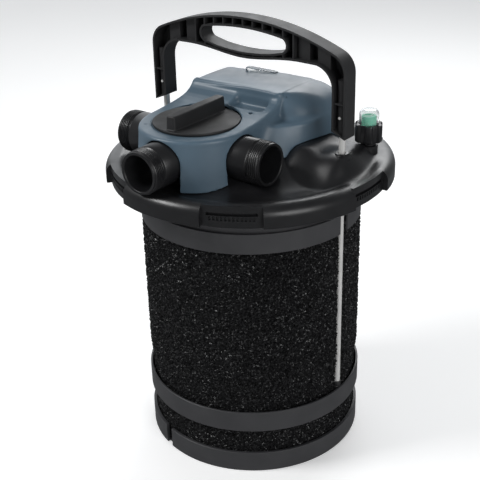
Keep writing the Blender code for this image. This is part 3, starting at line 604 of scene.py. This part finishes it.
def make_tray(mats):
    """Pressing tray between the foams, with a socket for each rod."""
    profile = [(163.4, 72.2), (163.4, 103.2), (162.8, 103.8), (160.6, 103.8), (160.0, 103.2)]
    profile += [(160.0, 76.4), (159.2, 75.6), (48.7, 75.6), (48.7, 71.6), (162.8, 71.6)]
    tray = lathe("tray_ring", profile, 192)
    for angle in range(15, 360, 30):
        subtract(tray, radial_slot(angle, 9.0, (66.0, 146.0), (70.0, 77.0)))
    for sign in (-1, 1):
        unite(tray, rod("socket", (sign * ROD_X, 0.0), 5.9, 72.6, 103.3))
        subtract(tray, rod("bore", (sign * ROD_X, 0.0), ROD_BORE, 80.0, 110.0))
    bevel(tray, 0.4)
    piece(tray, mats, "satin_black", "lifter", ["pressing_tray"], paint="collar")


def make_base(mats):
    """Base: a band with one notch on a slotted floor."""
    profile = [(0.001, 0.0), (162.2, 0.0), (162.7, 0.6), (162.7, 31.4), (162.1, 32.0)]
    profile += [(158.6, 32.0), (158.0, 31.4), (158.0, 4.8), (157.2, 4.0), (55.3, 4.0)]
    profile += [(55.3, 7.7), (48.3, 7.7), (48.3, 4.0), (0.001, 4.0)]
    base = lathe("base_band", profile, 192)
    subtract(base, radial_slot(-107.5, 7.0, (157.6, 170.0), (-1.0, 40.0)))
    for angle in range(0, 360, 30):
        subtract(base, radial_slot(angle, 9.0, (72.0, 148.0), (-1.0, 5.0)))
    bevel(base, 0.4)
    piece(base, mats, "satin_black", "head", ["base_ring"], paint="collar")


def radial_slot(angle, half_width, reach, z):
    """A block that points outwards from the vertical axis."""
    turn = math.radians(angle)
    along = Vector((math.cos(turn), math.sin(turn)))
    across = Vector((-math.sin(turn), math.cos(turn)))
    near, far = reach
    corners = [(near, -half_width), (far, -half_width), (far, half_width), (near, half_width)]
    return prism("slot", [tuple(along * u + across * v) for u, v in corners], z[0], z[1], "z")


def make_rods(mats):
    """Steel rods, nuts and glands."""
    for sign, side in ((-1, "left"), (1, "right")):
        place = (sign * ROD_X, 0.0)
        steel = [(0.001, 80.3), (4.2, 80.3), (ROD_RADIUS, 80.7), (ROD_RADIUS, 562.6)]
        steel += [(4.2, 563.0), (0.001, 563.0)]
        bar = lathe("steel_rod_" + side, steel, 48, place)
        piece(bar, mats, "steel", "lifter", ["rod_" + side])
        gland = [(ROD_BORE, 446.0), (8.0, 446.0), (8.0, 473.3), (9.2, 473.3), (9.4, 473.5)]
        gland += [(9.4, 474.2), (8.8, 474.8), (5.6, 474.8), (ROD_BORE, 474.1)]
        guide = lathe("gland_" + side, gland, 48, place)
        piece(guide, mats, "black", "head", ["rod_gland_" + side])
        nut = [(ROD_BORE, 104.1), (5.6, 104.1), (5.9, 104.5), (5.9, 111.4), (5.5, 112.0)]
        nut += [(ROD_BORE, 112.0)]
        foot = lathe("rod_foot_" + side, nut, 32, place)
        piece(foot, mats, "steel", "lifter", ["rod_nut_" + side], paint="satin_black")


# ---------------------------------------------------------------- lid


def ridge_height(x, y):
    """Height of the swellings: round the rods, beside the cover and under the indicator."""
    boss = 1.0 - smooth(np.hypot(np.abs(x) - ROD_X, y) / BOSS_SPREAD)
    beside = np.hypot(x - COVER_SIDE, y - np.clip(y, -10.0, 45.0))
    wall = np.where(x > 0.0, 1.0 - smooth(beside / 68.0), 0.0)
    along = np.clip(y / GAUGE[1], 0.0, 1.0)
    line = np.hypot(x - ROD_X - (GAUGE[0] - ROD_X) * along, y - GAUGE[1] * along)
    gauge = np.where(x > 0.0, 0.72 * (1.0 - smooth(line / RIDGE_SPREAD)), 0.0)
    share = 1.0 - (1.0 - boss) * (1.0 - wall) * (1.0 - gauge)
    return VALLEY + (BOSS_TOP - 0.6 - VALLEY + 5.5 * wall) * share


def deck_lift(x, y):
    """How far the swellings lift the deck, fading out at the rim."""
    radius = np.hypot(x, y)
    lift = np.maximum(ridge_height(x, y) - deck_height(radius), 0.0)
    return lift * (1.0 - smooth((radius - 160.0) / 32.0))


def lid_shape(points, _angles):
    """Lift both faces of the lid's deck onto the swellings."""
    x, y, z = points[..., 0], points[..., 1], points[..., 2]
    deck = (z > VALLEY - LID_WALL - 0.2) & (np.hypot(x, y) < LID_RADIUS - LID_SHOULDER - 0.1)
    points[..., 2] = z + np.where(deck, deck_lift(x, y), 0.0)
    return points


def make_lid(mats):
    """The lid with its rolled rim, bosses, clip windows and sealing spigot."""
    corner = (LID_RADIUS - LID_SHOULDER, CREST - LID_SHOULDER)

    def underside(radii):
        return [(r, float(deck_height(r)) - LID_WALL) for r in radii]

    profile = [(LID_RADIUS - 1.0, LID_BOTTOM), (LID_RADIUS, LID_BOTTOM + 1.0)]
    profile += arc(corner, LID_SHOULDER, 0.0, 90.0, 14)
    profile += [(r, float(deck_height(r))) for r in np.arange(188.0, 24.0, -3.0)]
    profile += [(24.0, CROWN)]
    profile += underside([24.0] + list(np.arange(70.0, 168.0, 6.0)) + [167.0])
    profile += [(167.0, 402.0), (171.5, 402.0), (172.0, 402.5)]
    profile += [(172.0, 410.0), (169.4, 410.0), (169.4, 416.0), (172.0, 416.0)]
    profile += underside((172.0, 176.0, 180.0, 184.0, 188.0))
    profile += arc(corner, LID_SHOULDER - LID_WALL, 90.0, 0.0, 8)
    profile += [(LID_RADIUS - LID_WALL, LID_BOTTOM)]
    lid = lathe("lid_shell", profile, 288, shape=lid_shape)
    for side in (-1, 1):
        place = (side * ROD_X, 0.0)
        top = [(0.001, BOSS_TOP), (8.6, BOSS_TOP), (13.0, BOSS_TOP - 5.0)]
        unite(lid, lathe("sleeve", top + [(13.0, 436.5), (0.001, 436.5)], 48, place))
        subtract(lid, rod("bore", place, GLAND_BORE, 420.0, 480.0))
    unite(lid, rod("gauge_pad", GAUGE, 13.6, 448.0, GAUGE_SEAT))
    subtract(lid, rod("gauge_face", GAUGE, 14.2, GAUGE_SEAT, 480.0))
    for i in range(6):
        add_window(lid, 60.0 * i)
    for direction in ("left", "right", "front"):
        subtract(lid, port_tool("trough", direction, 31.0, 132.0))
    bevel(lid, 0.6, 2, 42.0)
    piece(lid, mats, "black", "head", ["lid"])


def add_window(lid, angle):
    """One clip window: flat land, upright face, a dark slot and a row of short ribs."""
    half = 11.5
    face = 200.0
    pad_heights = (LID_BOTTOM + 0.2, 440.0)
    land_heights = (436.0, CREST - 0.15)
    unite(lid, sector("pad", angle, half + 1.5, (face - 5.5, face + 4.0), pad_heights))
    unite(lid, sector("land", angle, half - 0.3, (face - 7.5, face + 4.0), land_heights))
    subtract(lid, sector("face", angle, half, (face, 216.0), (410.0, 455.0)))
    subtract(lid, sector("slot", angle, half - 1.9, (face - 4.2, 216.0), (431.8, 436.2)))
    for k in range(12):
        turn = angle + (k - 5.5) * 1.5
        subtract(lid, sector("groove", turn, 0.42, (face - 1.6, 216.0), (425.2, 431.0), 1))


def port_tool(name, direction, radius, reach):
    """A round bar from the valve's centre along one of its ports."""
    if direction == "front":
        return rod(name, (VALVE[0], PORT_HEIGHT), radius, VALVE[1] - reach, VALVE[1], "y", 96)
    ends = sorted((VALVE[0], VALVE[0] + (reach if direction == "right" else -reach)))
    return rod(name, (VALVE[1], PORT_HEIGHT), radius, ends[0], ends[1], "x", 96)


# ---------------------------------------------------------------- valve, ports and knob


def thread_radius(axial, angles, start, end):
    """Radius of a helical thread between two places along a stub."""
    phase = np.mod(axial / THREAD_PITCH - angles / (2.0 * math.pi), 1.0)
    ridge = np.clip(1.6 - 3.2 * np.abs(phase - 0.5), 0.0, 1.0)
    fade_in = np.clip((axial - start) / THREAD_PITCH, 0.0, 1.0)
    fade_out = np.clip((end - axial) / THREAD_PITCH, 0.0, 1.0)
    return THREAD_ROOT + (STUB_RADIUS - THREAD_ROOT) * ridge * (fade_in * fade_out)


def make_stub(name, direction, reach, mats):
    """One hose stub, from the valve's wall to its mouth, with a real thread."""
    root = THREAD_ROOT
    begin = reach - 21.0
    axial = list(np.arange(begin, reach - 1.2, 0.29))
    outside = [(STUB_RADIUS, 58.0), (STUB_RADIUS, begin - 1.6), (29.2, begin - 0.6)]
    mouth = [(root + 0.4, reach - 1.0), (root + 0.4, reach - 0.5), (root, reach)]
    mouth += [(25.4, reach), (24.9, reach - 0.5)]
    inside = [(STUB_BORE, reach - 2.0), (STUB_BORE, 62.0), (STUB_BORE, 58.0)]
    profile = outside + [(root, a) for a in axial] + mouth + inside
    first = len(outside)

    def thread_shape(points, angles):
        rows = np.array(axial)[:, None]
        radius = thread_radius(rows, angles[None, :], begin, reach - 1.4)
        points[first : first + len(axial), :, 0] = radius * np.cos(angles)[None, :]
        points[first : first + len(axial), :, 1] = radius * np.sin(angles)[None, :]
        return points

    obj = lathe(name, profile, 96, shape=thread_shape, sharp=50.0)
    turn = {
        "left": Matrix.Rotation(math.radians(-90.0), 4, "Y"),
        "right": Matrix.Rotation(math.radians(90.0), 4, "Y"),
        "front": Matrix.Rotation(math.radians(90.0), 4, "X"),
    }[direction]
    obj.data.transform(Matrix.Translation(Vector((VALVE[0], VALVE[1], PORT_HEIGHT)) * MM) @ turn)
    piece(obj, mats, "black", "head")
    return obj


def make_valve(mats):
    """Valve chamber and its three stubs."""
    chamber = rod("valve_chamber", VALVE, 60.0, 442.6, 505.0, steps=128)
    subtract(chamber, rod("room", VALVE, 54.0, 449.0, 499.0, steps=128))
    for direction in ("left", "right"):
        sign = -1.0 if direction == "left" else 1.0
        x = sorted((VALVE[0], VALVE[0] + sign * 64.0))
        subtract(chamber, rod("way", (VALVE[1], PORT_HEIGHT), 30.6, x[0], x[1], "x", 64))
    subtract(chamber, rod("way", (VALVE[0], PORT_HEIGHT), 30.6, VALVE[1] - 64.0, VALVE[1], "y", 64))
    subtract(chamber, rod("shaft", VALVE, 12.7, 490.0, 510.0))
    for dx in (-30.0, 30.0):
        subtract(chamber, rod("passage", (VALVE[0] + dx, VALVE[1]), 14.0, 440.0, 460.0))
    bevel(chamber, 0.5)
    piece(chamber, mats, "black", "head", ["valve_body"])
    make_stub("port_left", "left", 124.0, mats)
    make_stub("port_right", "right", 124.0, mats)
    make_stub("port_front", "front", 121.0, mats)


def knob_distance(x, y, z):
    """Disc with a rounded edge and a grip bar that is widest in its middle."""
    dx, dy = x - VALVE[0], y - VALVE[1]
    radius = np.hypot(dx, dy)
    disc = smax(radius - DISC_RADIUS, np.maximum(z - DISC_TOP, DISC_FOOT - z), 1.2)
    along = dy / GRIP_HALF
    width = 7.6 + 1.2 * (1.0 - along**2)
    taper = (z - 513.0) * 0.045
    bar = smax(np.abs(dx) - width + taper, np.abs(dy) - GRIP_HALF + taper, 3.0)
    bar = smax(bar, z - GRIP_TOP - 0.012 * dy, 2.4)
    bar = np.maximum(bar, 511.0 - z)
    body = smin(disc, bar, 1.6)
    bore = np.maximum(radius - 9.0, z - 513.2)
    neck = np.maximum(radius - 5.8, z - 524.3)
    return np.maximum(body, -np.minimum(bore, neck))


def make_knob(mats):
    """Selector knob over the valve."""
    low, high = (-83.5, -148.5, 509.0), (37.5, -27.5, 534.0)
    knob = surface("valve_knob", knob_distance, low, high, 1.0)
    piece(knob, mats, "satin_black", "valve", ["knob"])


# ---------------------------------------------------------------- head cover


def cover_top(y):
    """Height of the cover's middle from the round front up to the roof's edge."""
    places = (-175.0, -120.0, -90.0, -66.0, -50.0, -36.0, -26.0, -18.0, -9.0, -3.0, 4.0)
    heights = (509.0, 509.6, 511.0, 513.0, 514.6, 516.6, 518.6, 521.0, 526.0, 531.5, 536.5)
    return np.interp(y, places, heights)


def flat_roof(x, y):
    """Height of the hood's nearly flat roof."""
    return 534.5 + 5.5 * smooth((x + 99.0) / 110.0) - 0.0006 * (y - 40.0) ** 2


def dome_distance(x, y, z):
    """Right end of the hood: a long round shoulder that falls to the right and to the front."""
    front = -6.0 + (x - 46.0) * 0.11
    depth = 16.0 + 38.0 * smooth((x - 46.0) / 50.0)
    u = np.clip((x - 44.0) / 60.0, 0.0, 1.6)
    v = np.clip((front + depth - y) / depth, 0.0, 1.6)
    w = np.clip((z - SKIRT + 4.0) / (flat_roof(x, y) - SKIRT + 4.0), 0.0, 2.0)
    return (np.sqrt(u**2 + v**2 + w**2.4) - 1.0) * 34.0


def corners_distance(x, y, corners):
    """Plan distance of a convex outline given counter-clockwise."""
    sides = []
    for (ax, ay), (bx, by) in zip(corners, corners[1:] + corners[:1]):
        length = math.hypot(bx - ax, by - ay)
        sides.append(((x - ax) * (by - ay) - (y - ay) * (bx - ax)) / length)
    distance = sides[0]
    for side in sides[1:]:
        distance = smax(distance, side, 9.0)
    return distance


def skirt_distance(x, y, z):
    """Low skirt right of the valve: its foot stands further out and forward than its top."""
    top = corners_distance(x, y, SKIRT_TOP)
    foot = corners_distance(x, y, SKIRT_FOOT)
    share = np.clip((SKIRT - z) / 52.0, 0.0, 1.0)
    return top + (foot - top) * share


def cover_outside(x, y, z):
    """Distance to the cover's outside: front lobe, rise to the hood, hood, dome and skirt."""
    dx = np.abs(x - VALVE[0])
    ahead = np.minimum(y - VALVE[1], 0.0)
    lean = 0.08 * np.clip(500.0 - z, 0.0, 60.0)
    plan = np.hypot(dx, ahead) - LOBE_RADIUS - lean
    lobe = smax(np.maximum(plan, y - 20.0), z - LOBE_TOP - 0.3, 6.0)
    rise = smax(np.maximum(plan, y - 10.0), (z - cover_top(y)) * 0.86, 5.0)
    left = smax(np.abs(x + 24.0) - 78.0, np.abs(y - 42.5) - 45.5, 9.0)
    roof = z - flat_roof(x, y)
    hood = smax(left, roof, 3.0)
    shoulder = smax(smax(dome_distance(x, y, z), 40.0 - x, 3.0), roof, 3.0)
    skirt = smax(skirt_distance(x, y, z), z - SKIRT, 4.0)
    body = smin(smin(lobe, rise, 2.0), smin(hood, shoulder, 1.5), 3.0)
    body = smax(smin(body, skirt, 10.0), y - COVER_BACK, 3.0)
    recess = smax(np.abs(x - 12.0) - 28.0, np.abs(y + 14.0) - 11.0, 9.0)
    scoop = smax(recess, SCOOP_FLOOR - z, 6.0)
    return smax(body, -scoop, 5.0)


def cover_distance(x, y, z):
    """Shell of the cover, cut to the lid's deck, with its well, arches and holes."""
    outside = cover_outside(x, y, z)
    shell = np.maximum(outside, -(outside + COVER_WALL))
    deck = deck_height(np.hypot(x, y)) + deck_lift(x, y) + 0.7
    shell = np.maximum(shell, deck - z)
    knob = np.hypot(x - VALVE[0], y - VALVE[1])
    well = np.maximum(knob - WELL_RADIUS, LOBE_TOP - z)
    shell = smax(shell, -well, 0.8)
    plate = np.abs(z - LOBE_TOP + 0.5 * COVER_WALL) - 0.5 * COVER_WALL
    floor = np.maximum(np.maximum(knob - 64.0, plate), 12.0 - knob)
    shell = np.minimum(shell, floor)
    along, across = x - VALVE[0], y - VALVE[1]
    for over, side in ((across, -along), (across, along), (along, across)):
        rounded = np.hypot(over, z - PORT_HEIGHT) - ARCH_RADIUS
        below = np.maximum(np.abs(over) - ARCH_RADIUS, z - PORT_HEIGHT)
        arch = np.maximum(np.maximum(np.minimum(rounded, below), side), -side - 110.0)
        shell = smax(shell, -arch, 0.8)
    screw = np.maximum(np.hypot(x - SCREW[0], y - SCREW[1]) - 2.8, 511.8 - z)
    gland = np.maximum(np.hypot(x - 60.0, z - 490.0) - 6.4, 60.0 - y)
    reach = np.maximum(np.abs(knob - 68.0) - 4.0, 508.8 - z)
    tick = np.maximum(np.abs(radial_offset(x, y)) - 0.7, reach)
    return np.maximum(shell, -np.minimum(np.minimum(screw, gland), tick))


def radial_offset(x, y):
    """Sideways distance from the line on which the valve's mark lies."""
    turn = math.radians(-138.0)
    across = (x - VALVE[0]) * math.sin(turn) - (y - VALVE[1]) * math.cos(turn)
    ahead = (x - VALVE[0]) * math.cos(turn) + (y - VALVE[1]) * math.sin(turn)
    return np.where(ahead > 0.0, across, 99.0)


def make_cover(mats):
    """Blue-grey head cover."""
    low, high = (-104.0, -169.0, 436.0), (112.0, 91.0, 542.0)
    cover = surface("cover_shell", cover_distance, low, high, 1.5)
    piece(cover, mats, "blue_grey", "head", ["head_cover"])


# ---------------------------------------------------------------- handle


def handle_half(inset):
    """Right half of the handle's outline in (x, z)."""
    radius = HANDLE_CURVE - inset
    centre = HANDLE_TOP - HANDLE_CURVE
    lean = 90.0 - math.degrees(math.asin(147.0 / HANDLE_CURVE))
    joint = (147.0 - 29.5 * math.cos(math.radians(lean)), 583.1)
    points = arc((0.0, centre), radius, 90.0, lean, 20)
    points += arc(joint, 29.5 - inset, lean, 0.0, 10)[1:]
    points += [(165.3 - inset, 497.5 + inset), (144.5 + inset, 506.5 + inset)]
    points += arc((114.5, 562.0), 30.0 + inset, 0.0, 80.0, 10)
    for x in np.arange(96.0, -1.0, -8.0):
        points.append((x, 584.0 + 8.0 * float(smooth(x / 90.0)) + inset))
    return points


def opening_half(outset):
    """Right half of the grip opening."""
    centre = (0.0, HANDLE_TOP - HANDLE_CURVE)
    top = arc(centre, HANDLE_CURVE - 15.0 + outset, 90.0, 80.6, 10)
    end = arc((62.0, 610.0), 10.0 + outset, 60.0, -75.0, 12)
    bottom = [(x, 592.5 - outset + 0.00165 * x * x) for x in (46.0, 34.0, 22.0, 11.0, 0.0)]
    return top + end + bottom


def mirrored(points):
    """Whole outline from its right half."""
    return points + [(-x, z) for x, z in reversed(points) if abs(x) > 1e-6]


def make_handle(mats):
    """Carrying handle: a channel open at the front, with ribs, pads and rod spines."""
    depth = HANDLE_HALF_DEPTH
    handle = prism("carry_handle", mirrored(handle_half(0.0)), -depth, depth, "y")
    subtract(handle, prism("opening", mirrored(opening_half(0.0)), -20.0, 20.0, "y"))
    inside = mirrored(handle_half(HANDLE_WALL))
    pocket = prism("pocket", inside, -20.0, depth - HANDLE_WALL, "y")
    rim = mirrored(opening_half(HANDLE_WALL))
    subtract(pocket, prism("rim", rim, -24.0, 20.0, "y"))
    for i in range(-5, 6):
        x = i * 16.6
        subtract(pocket, box("rib", (x - 0.9, x + 0.9), (-11.6, 24.0), (570.0, 650.0)))
    for sign in (-1, 1):
        for near, far in ((87.0, 105.0), (117.5, 137.0)):
            x = sorted((sign * near, sign * far))
            subtract(pocket, box("pad", x, (-4.5, 24.0), (580.0, 650.0)))
        subtract(pocket, rod("spine", (sign * ROD_X, 0.0), 7.4, 490.0, 575.0))
        web = (sign * ROD_X - 12.0, sign * ROD_X + 12.0)
        subtract(pocket, box("rib", web, (-11.2, 24.0), (543.4, 545.6)))
    subtract(handle, pocket)
    for sign in (-1, 1):
        subtract(handle, rod("bore", (sign * ROD_X, 0.0), ROD_BORE, 480.0, 563.3))
    bevel(handle, 0.7, 2, 38.0)
    piece(handle, mats, "satin_black", "lifter", ["handle"])


# ---------------------------------------------------------------- indicator and window


def make_indicator(mats):
    """Lobed nut, clear dome and green float."""
    base = [(3.0, 461.3), (10.5, 461.3), (11.0, 461.8), (11.0, 465.0), (15.6, 468.3), (15.6, 484.5)]
    base += [(12.2, 484.5), (12.2, 477.5), (3.0, 477.5)]
    piece(lathe("gauge_base", base, 64, GAUGE), mats, "black", "head", ["indicator_base"])

    def lobes(points, angles):
        swell = 1.0 + 0.085 * np.clip(np.cos(6.0 * angles) * 2.2, -1.0, 1.0)[None, :]
        radius = np.hypot(points[..., 0] - GAUGE[0], points[..., 1] - GAUGE[1])
        factor = np.where(radius > 16.3, swell, 1.0)
        points[..., 0] = GAUGE[0] + (points[..., 0] - GAUGE[0]) * factor
        points[..., 1] = GAUGE[1] + (points[..., 1] - GAUGE[1]) * factor
        return points

    nut = [(16.0, 466.5), (16.8, 466.5), (18.0, 467.5), (18.6, 469.0), (18.6, 490.0), (18.0, 491.8)]
    nut += [(16.6, 492.5), (14.9, 492.5), (14.4, 492.0), (14.4, 488.8), (16.0, 488.8)]
    lobed = lathe("gauge_nut", nut, 192, GAUGE, shape=lobes)
    piece(lobed, mats, "black", "head", ["indicator_nut"])
    outer = [(15.7, 484.8), (15.7, 488.5), (14.0, 488.5), (14.0, 506.0)]
    outer += arc((7.0, 506.0), 7.0, 0.0, 90.0, 8)
    inner = arc((6.4, 505.4), 6.0, 90.0, 0.0, 8) + [(12.4, 484.8)]
    dome = outer + [(0.001, 513.0), (0.001, 511.4)] + inner
    piece(lathe("gauge_dome", dome, 64, GAUGE), mats, "clear", "head", ["indicator_dome"])
    body = [(0.001, 486.3), (10.2, 486.3), (10.5, 486.8), (10.5, 502.4), (9.9, 503.4), (7.0, 503.9)]
    body += [(6.4, 502.6), (0.001, 502.6)]
    piece(lathe("gauge_float", body, 64, GAUGE), mats, "green", "float", ["indicator_float"])


def make_window(mats):
    """Lamp window on the roof."""

    def lens(x, y, z):
        plan = smax(np.abs(x + 35.0) - 27.0, np.abs(y - 79.0) - 6.0, 4.0)
        return smax(plan, np.abs(z - 537.5) - 3.4, 2.0)

    low, high = (-63.0, 71.0, 533.0), (-7.0, 87.0, 542.0)
    window = surface("roof_window", lens, low, high, 0.8)
    piece(window, mats, "clear", "head", ["uv_window"])


def paint_cad(frame, mats, slots):
    """Give each CAD node that still shows its slot's material."""
    for name, obj in frame["nodes"].items():
        for entry in obj.material_slots:
            entry.material = mats[slots[name]]


# ---------------------------------------------------------------- stage


def area_light(name, place, target, size, power):
    """A soft rectangular light that faces a point."""
    data = bpy.data.lights.new(name, "AREA")
    data.shape = "RECTANGLE"
    data.size, data.size_y = size
    data.energy = power
    obj = bpy.data.objects.new(name, data)
    obj.location = place
    aim = Vector(target) - Vector(place)
    obj.rotation_euler = aim.to_track_quat("-Z", "Y").to_euler()
    bpy.context.scene.collection.objects.link(obj)


def make_world():
    """White to the camera; as a light it is bright behind the object and dim elsewhere."""
    world = bpy.data.worlds.new("studio")
    bpy.context.scene.world = world
    world.use_nodes = True
    tree = world.node_tree
    tree.nodes.clear()
    output = tree.nodes.new("ShaderNodeOutputWorld")
    seen = tree.nodes.new("ShaderNodeBackground")
    seen.inputs["Color"].default_value = (1.0, 1.0, 1.0, 1.0)
    seen.inputs["Strength"].default_value = 1.05
    lit = tree.nodes.new("ShaderNodeBackground")
    lit.inputs["Color"].default_value = (0.94, 0.97, 1.0, 1.0)
    place = tree.nodes.new("ShaderNodeTexCoord")
    aim = tree.nodes.new("ShaderNodeVectorMath")
    aim.operation = "DOT_PRODUCT"
    aim.inputs[1].default_value = (-0.57, 0.73, 0.38)
    tree.links.new(place.outputs["Generated"], aim.inputs[0])
    ramp = tree.nodes.new("ShaderNodeMapRange")
    ramp.interpolation_type = "SMOOTHSTEP"
    ramp.inputs["From Min"].default_value = 0.72
    ramp.inputs["From Max"].default_value = 0.98
    ramp.inputs["To Min"].default_value = 0.20
    ramp.inputs["To Max"].default_value = 1.45
    tree.links.new(aim.outputs["Value"], ramp.inputs["Value"])
    tree.links.new(ramp.outputs["Result"], lit.inputs["Strength"])
    path = tree.nodes.new("ShaderNodeLightPath")
    mix = tree.nodes.new("ShaderNodeMixShader")
    tree.links.new(path.outputs["Is Camera Ray"], mix.inputs["Fac"])
    tree.links.new(lit.outputs["Background"], mix.inputs[1])
    tree.links.new(seen.outputs["Background"], mix.inputs[2])
    tree.links.new(mix.outputs["Shader"], output.inputs["Surface"])


def make_stage():
    """Pale floor, the world and soft lights."""
    bpy.ops.mesh.primitive_plane_add(size=14.0, location=(0.0, 0.0, -0.0005))
    floor = bpy.context.object
    floor.name = "floor"
    mat, tree, shader = new_material("floor_white", (0.93, 0.93, 0.93), 0.75)
    tinted(tree, shader, noise(tree, 3.0, 2.0), (0.92, 0.92, 0.92), (0.94, 0.94, 0.94))
    shader.inputs["Emission Color"].default_value = (1.0, 1.0, 1.0, 1.0)
    shader.inputs["Emission Strength"].default_value = 0.30
    floor.data.materials.append(mat)
    floor.visible_glossy = False
    make_world()
    area_light("key", (-1.5, -1.6, 2.3), (0.0, 0.0, 0.4), (0.9, 0.9), 46.0)
    area_light("fill", (2.3, -0.9, 1.2), (0.0, 0.0, 0.35), (1.2, 1.2), 24.0)
    area_light("back", (-0.6, 1.9, 1.7), (0.0, 0.0, 0.4), (1.6, 0.8), 16.0)


def make_camera():
    """The photograph's view, from its azimuth, elevation, roll and distance."""
    azimuth, elevation, roll = (math.radians(v) for v in (AZIMUTH, ELEVATION, ROLL))
    back = Vector(
        (
            math.sin(azimuth) * math.cos(elevation),
            -math.cos(azimuth) * math.cos(elevation),
            math.sin(elevation),
        )
    )
    right = Vector((math.cos(azimuth), math.sin(azimuth), 0.0))
    up = back.cross(right)
    across = math.cos(roll) * right + math.sin(roll) * up
    upward = -math.sin(roll) * right + math.cos(roll) * up
    data = bpy.data.cameras.new("camera")
    data.lens = LENS
    data.sensor_width = 36.0
    data.clip_start = 0.05
    data.clip_end = 50.0
    camera = bpy.data.objects.new("camera", data)
    place = Vector((0.0, 0.0, TARGET_HEIGHT)) + SIDE_STEP * right + DISTANCE * back
    turn = Matrix((across, upward, back)).transposed()
    camera.matrix_world = Matrix.Translation(place) @ turn.to_4x4()
    bpy.context.scene.collection.objects.link(camera)
    bpy.context.scene.camera = camera


def main():
    """Load the frame, build every piece around it, then the stage and the camera."""
    for obj in list(bpy.data.objects):
        bpy.data.objects.remove(obj)
    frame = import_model()
    slots = {s["node"]: s["material_slot"] for s in frame["record"]["subparts"]}
    mats = make_materials()
    paint_cad(frame, mats, slots)
    make_foams(mats)
    make_collar(mats)
    make_tray(mats)
    make_base(mats)
    make_rods(mats)
    make_lid(mats)
    make_valve(mats)
    make_knob(mats)
    make_cover(mats)
    make_handle(mats)
    make_indicator(mats)
    make_window(mats)
    make_stage()
    make_camera()
    bpy.context.scene.view_settings.view_transform = "Standard"


main()
